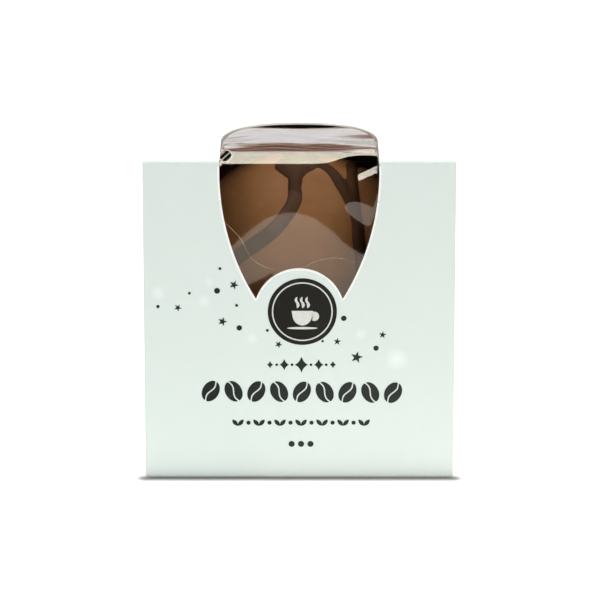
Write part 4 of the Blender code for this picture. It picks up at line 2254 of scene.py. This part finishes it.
@dataclass
class Hairlines:
    """Fine folds in the film's front with a painted pale glint, as routes in millimetres of (x, drop)."""

    film: WindowFilm
    radius: float = 0.052 * MM
    clear_of_film: float = 0.02 * MM
    sides: int = 6
    routes: tuple[tuple[Pair, ...], ...] = (
        ((-17.9, 14.0), (-16.6, 15.3), (-13.7, 18.4), (-10.9, 23.3), (-8.2, 25.2), (-5.6, 25.8)),
        ((0.2, 26.2), (2.2, 24.8), (4.3, 23.8), (7.8, 23.2), (10.5, 23.5), (12.9, 24.3)),
    )

    def guide(self) -> Object:
        """Draw the routes on the film.

        Returns:
            A curve.
        """
        curve = bpy.data.curves.new("folds", "CURVE")
        curve.dimensions = "3D"
        carton = self.film.carton
        for route in self.routes:
            spline = curve.splines.new("BEZIER")
            spline.bezier_points.add(len(route) - 1)
            for point, (across, drop) in zip(spline.bezier_points, route):
                up = carton.height - drop * MM
                out = carton.bow(Panel.FRONT, across * MM, up) + self.clear_of_film
                point.co = (across * MM, self.film.front - out, up)
                point.handle_left_type = "AUTO"
                point.handle_right_type = "AUTO"
        return place_mesh("folds", curve)

    def build(self, finish: PaintedFoldGlint) -> Object:
        """Lay the folds on the film as thin threads.

        Args:
            finish: their finish.

        Returns:
            The threads.
        """
        guide = self.guide()
        recipe = Recipe("film_folds")
        routes = recipe.take("Routes", "NodeSocketObject", guide)
        radius = recipe.number("Radius", self.radius)
        paths = recipe.node("GeometryNodeObjectInfo", None, {0: routes}).outputs["Geometry"]
        sizes = {"Resolution": self.sides, "Radius": radius}
        ring = recipe.node("GeometryNodeCurvePrimitiveCircle", None, sizes)
        wires = recipe.node("GeometryNodeCurveToMesh", None, {0: paths, 1: ring, "Fill Caps": True})
        threads = recipe.make("film_folds", wires, finish.material())
        bpy.data.objects.remove(guide, do_unlink=True)
        return ship(outward(threads))


# The studio


class Ray(Enum):
    """A kind of light ray, by the object's switch for it."""

    CAMERA = "visible_camera"
    DIFFUSE = "visible_diffuse"
    GLOSSY = "visible_glossy"
    TRANSMISSION = "visible_transmission"


def stage_for(item: Object, seen: Ray) -> None:
    """Let only one kind of ray see an object of the stage.

    Args:
        item: the object.
        seen: the kind that sees it.
    """
    for ray in Ray:
        setattr(item, ray.value, ray is seen)
    item.visible_shadow = seen is Ray.DIFFUSE


def sphere_round(name: str, radius: float, finish: Material) -> Object:
    """Make a sphere round the stage.

    Args:
        name: its name.
        radius: its radius.
        finish: its material.

    Returns:
        The sphere.
    """
    shape = bmesh.new()
    bmesh.ops.create_uvsphere(shape, u_segments=64, v_segments=32, radius=radius)
    return from_shape(name, shape, finish)


@dataclass(frozen=True)
class LightSheet:
    """A glowing rectangle that neither camera nor mirrors see, by its middle and half sides."""

    name: str
    middle: Place
    half_across: Place
    half_up: Place
    radiance: float

    def build(self) -> None:
        """Hang the sheet."""
        middle = Vector(self.middle)
        across = Vector(self.half_across)
        up = Vector(self.half_up)
        corners = [middle - across - up, middle + across - up, middle + across + up, middle - across + up]
        finish = Shine(self.name, self.radiance).material()
        stage_for(mesh_from(self.name, corners, [(0, 1, 2, 3)], finish), Ray.DIFFUSE)


@dataclass(frozen=True)
class MirrorSky:
    """What mirrors see round the stage, by the angle from the front horizon over the top."""

    radius: float = 2.5
    knots: tuple[tuple[float, Colour], ...] = (
        (-180.0, (0.20, 0.13, 0.10, 1.0)),
        (-168.0, (0.0, 0.0, 0.0, 1.0)),
        (60.0, (0.0, 0.0, 0.0, 1.0)),
        (62.5, (5.3, 4.95, 4.15, 1.0)),
        (125.0, (4.3, 4.07, 3.5, 1.0)),
        (150.0, (1.7, 1.62, 1.53, 1.0)),
        (165.0, (1.5, 1.43, 1.39, 1.0)),
        (170.0, (1.0, 0.90, 0.86, 1.0)),
        (173.5, (0.46, 0.28, 0.21, 1.0)),
        (177.0, (0.12, 0.07, 0.05, 1.0)),
        (180.0, (0.04, 0.026, 0.02, 1.0)),
    )
    side_from: float = 0.8
    side_to: float = 0.9
    side_up: float = 0.2
    side: Colour = (0.5, 0.48, 0.45, 1.0)

    def material(self) -> Material:
        """Make the glowing material.

        Returns:
            The material.
        """
        s = Surface("mirror_sky")
        x, y, z = s.axes(s.place)
        angle = s.math("ARCTAN2", z, -y) * (180 / math.pi)
        light: Any = self.knots[0][1]
        for (start, _), (end, colour) in zip(self.knots, self.knots[1:]):
            light = s.blend(((angle - start) / (end - start)).most(0.0).least(1.0), light, colour)
        aside = (s.math("ABSOLUTE", x) / self.radius).rise(self.side_from, self.side_to)
        beside = s.blend(z.rise(0.0, self.side_up * self.radius), grey(0.0), self.side)
        glow = s.blend(aside, light, beside)
        return s.dress(
            Base_Color=grey(0.0),
            Roughness=1.0,
            Specular_IOR_Level=0.0,
            Emission_Color=glow,
            Emission_Strength=1.0,
        )

    def build(self) -> None:
        """Hang the sky, which only mirrors see."""
        stage_for(sphere_round("mirror_sky", self.radius, self.material()), Ray.GLOSSY)


@dataclass(frozen=True)
class MirrorCard:
    """A white card on the floor that only mirrors see.

    Its front edge has a bell-shaped bump, steeper on one side, and its back left corner is
    cut away.
    """

    radiance: float = 0.85
    colour: Colour = (1.0, 0.89, 0.76, 1.0)
    back: float = 0.3
    reach: float = 0.5
    near: float = -0.232
    bump: float = 0.066
    bump_at: float = -0.0025
    bump_left: float = 0.0174
    bump_right: float = 0.0169
    bump_power: float = 2.5
    notch: tuple[Pair, ...] = ((-0.008, -0.222), (-0.020, -0.197))
    steps: int = 80

    def build(self) -> None:
        """Lay the card."""
        points = []
        for step in range(self.steps + 1):
            across = self.reach * (2 * step / self.steps - 1) ** 3
            beside = across - self.bump_at
            width = self.bump_left if beside < 0 else self.bump_right
            bump = math.exp(-((abs(beside) / width) ** self.bump_power))
            points.append((across, self.near - self.bump * bump, 0.0))
        points += [(self.reach, self.back, 0.0), (self.notch[0][0], self.back, 0.0)]
        points += [(across, back, 0.0) for across, back in self.notch]
        points.append((-self.reach, self.notch[-1][1], 0.0))
        finish = Shine("card_white", self.radiance, self.colour).material()
        stage_for(mesh_from("mirror_card", points, [range(len(points))], finish), Ray.GLOSSY)


@dataclass
class Studio:
    """Floor, lights and the camera at the photo's viewing angle."""

    floor_radius: float = 2.3
    floor_drop: float = 0.45 * MM
    dome_radius: float = 2.7
    fill_radiance: float = 0.16
    sheets: tuple[LightSheet, ...] = (
        LightSheet("overhead", (0.08, 0.15, 0.85), (0.55, 0.0, 0.0), (0.0, 0.55, 0.0), 2.8),
        LightSheet("from_right", (0.85, -1.25, 0.42), (0.41, 0.28, 0.0), (0.04, -0.04, 0.34), 2.2),
        LightSheet("from_left", (-1.15, -1.0, 0.42), (0.34, -0.38, 0.0), (-0.04, -0.04, 0.34), 1.8),
    )
    camera_place: Place = (0.00016, -0.91566, 0.28681)
    camera_pitch: float = 15.5
    camera_lens: float = 236.92
    sensor_width: float = 36.0
    clip: Pair = (0.05, 20.0)

    def build(self) -> None:
        """Set up the studio."""
        self.build_world()
        self.build_floor()
        MirrorCard().build()
        MirrorSky().build()
        white = Shine("dome_white", 1.0).material()
        stage_for(sphere_round("dome", self.dome_radius, white), Ray.CAMERA)
        for sheet in self.sheets:
            sheet.build()
        self.build_camera()

    def build_world(self) -> None:
        """Give the air a dim even light that mirrors don't show."""
        world = bpy.data.worlds.new("studio_air")
        world.use_nodes = True
        back = world.node_tree.nodes["Background"]
        back.inputs["Color"].default_value = grey(1.0)
        back.inputs["Strength"].default_value = self.fill_radiance
        world.cycles_visibility.glossy = False
        bpy.context.scene.world = world
        bpy.context.scene.view_settings.view_transform = "Standard"

    def build_floor(self) -> None:
        """Lay the floor, a little below the carton's uneven base."""
        shape = bmesh.new()
        bmesh.ops.create_circle(shape, cap_ends=True, segments=96, radius=self.floor_radius)
        bmesh.ops.translate(shape, verts=shape.verts, vec=(0.0, 0.0, -self.floor_drop))
        floor = from_shape("floor", shape, StagePaper().material())
        floor.visible_glossy = False

    def build_camera(self) -> None:
        """Place the camera."""
        data = bpy.data.cameras.new("camera")
        data.lens = self.camera_lens
        data.sensor_width = self.sensor_width
        data.clip_start, data.clip_end = self.clip
        camera = bpy.data.objects.new("camera", data)
        camera.location = self.camera_place
        camera.rotation_euler = (math.radians(90 - self.camera_pitch), 0.0, 0.0)
        bpy.context.scene.collection.objects.link(camera)
        bpy.context.scene.camera = camera


MILK = Chocolate(
    name="milk_chocolate",
    colour=(0.245, 0.109, 0.042, 1.0),
    deep=(0.196, 0.085, 0.029, 1.0),
    bloom_and_reflection=(0.28, 0.15, 0.075, 1.0),
    roughness=0.42,
    bloom_share=0.22,
)
DARK = Chocolate(
    name="dark_chocolate",
    colour=(0.052, 0.022, 0.011, 1.0),
    deep=(0.038, 0.016, 0.008, 1.0),
    bloom_and_reflection=(0.085, 0.044, 0.028, 1.0),
    roughness=0.36,
    bloom_share=0.2,
    shine=0.025,
    # the dark lines carry the painted reflection spot
    painted_reflection_share=0.75,
)
INSIDE = RawBoard("inner_board", (0.17, 0.15, 0.125, 1.0), (0.12, 0.10, 0.08, 1.0), 0.6 * MM)
CORE = RawBoard("board_core", (0.97, 0.955, 0.92, 1.0), (0.90, 0.87, 0.82, 1.0), 0.3 * MM)


def main() -> None:
    """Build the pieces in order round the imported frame."""
    logging.basicConfig(level=logging.INFO, format="%(message)s")
    Studio().build()
    carton = Carton(*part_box("carton"), window=WindowShape())
    carton.build(CoatedBoard(), INSIDE, CORE)
    film = WindowFilm(*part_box("window_film"), carton=carton)
    film.build(ClearFilm())
    Hairlines(film).build(PaintedFoldGlint())
    ball = ChocolateBall(*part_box("chocolate_ball"))
    ball.build_ball(MILK)
    ball.build_lines(DARK)
    Print(carton).build()


if __name__ == "__main__":
    main()
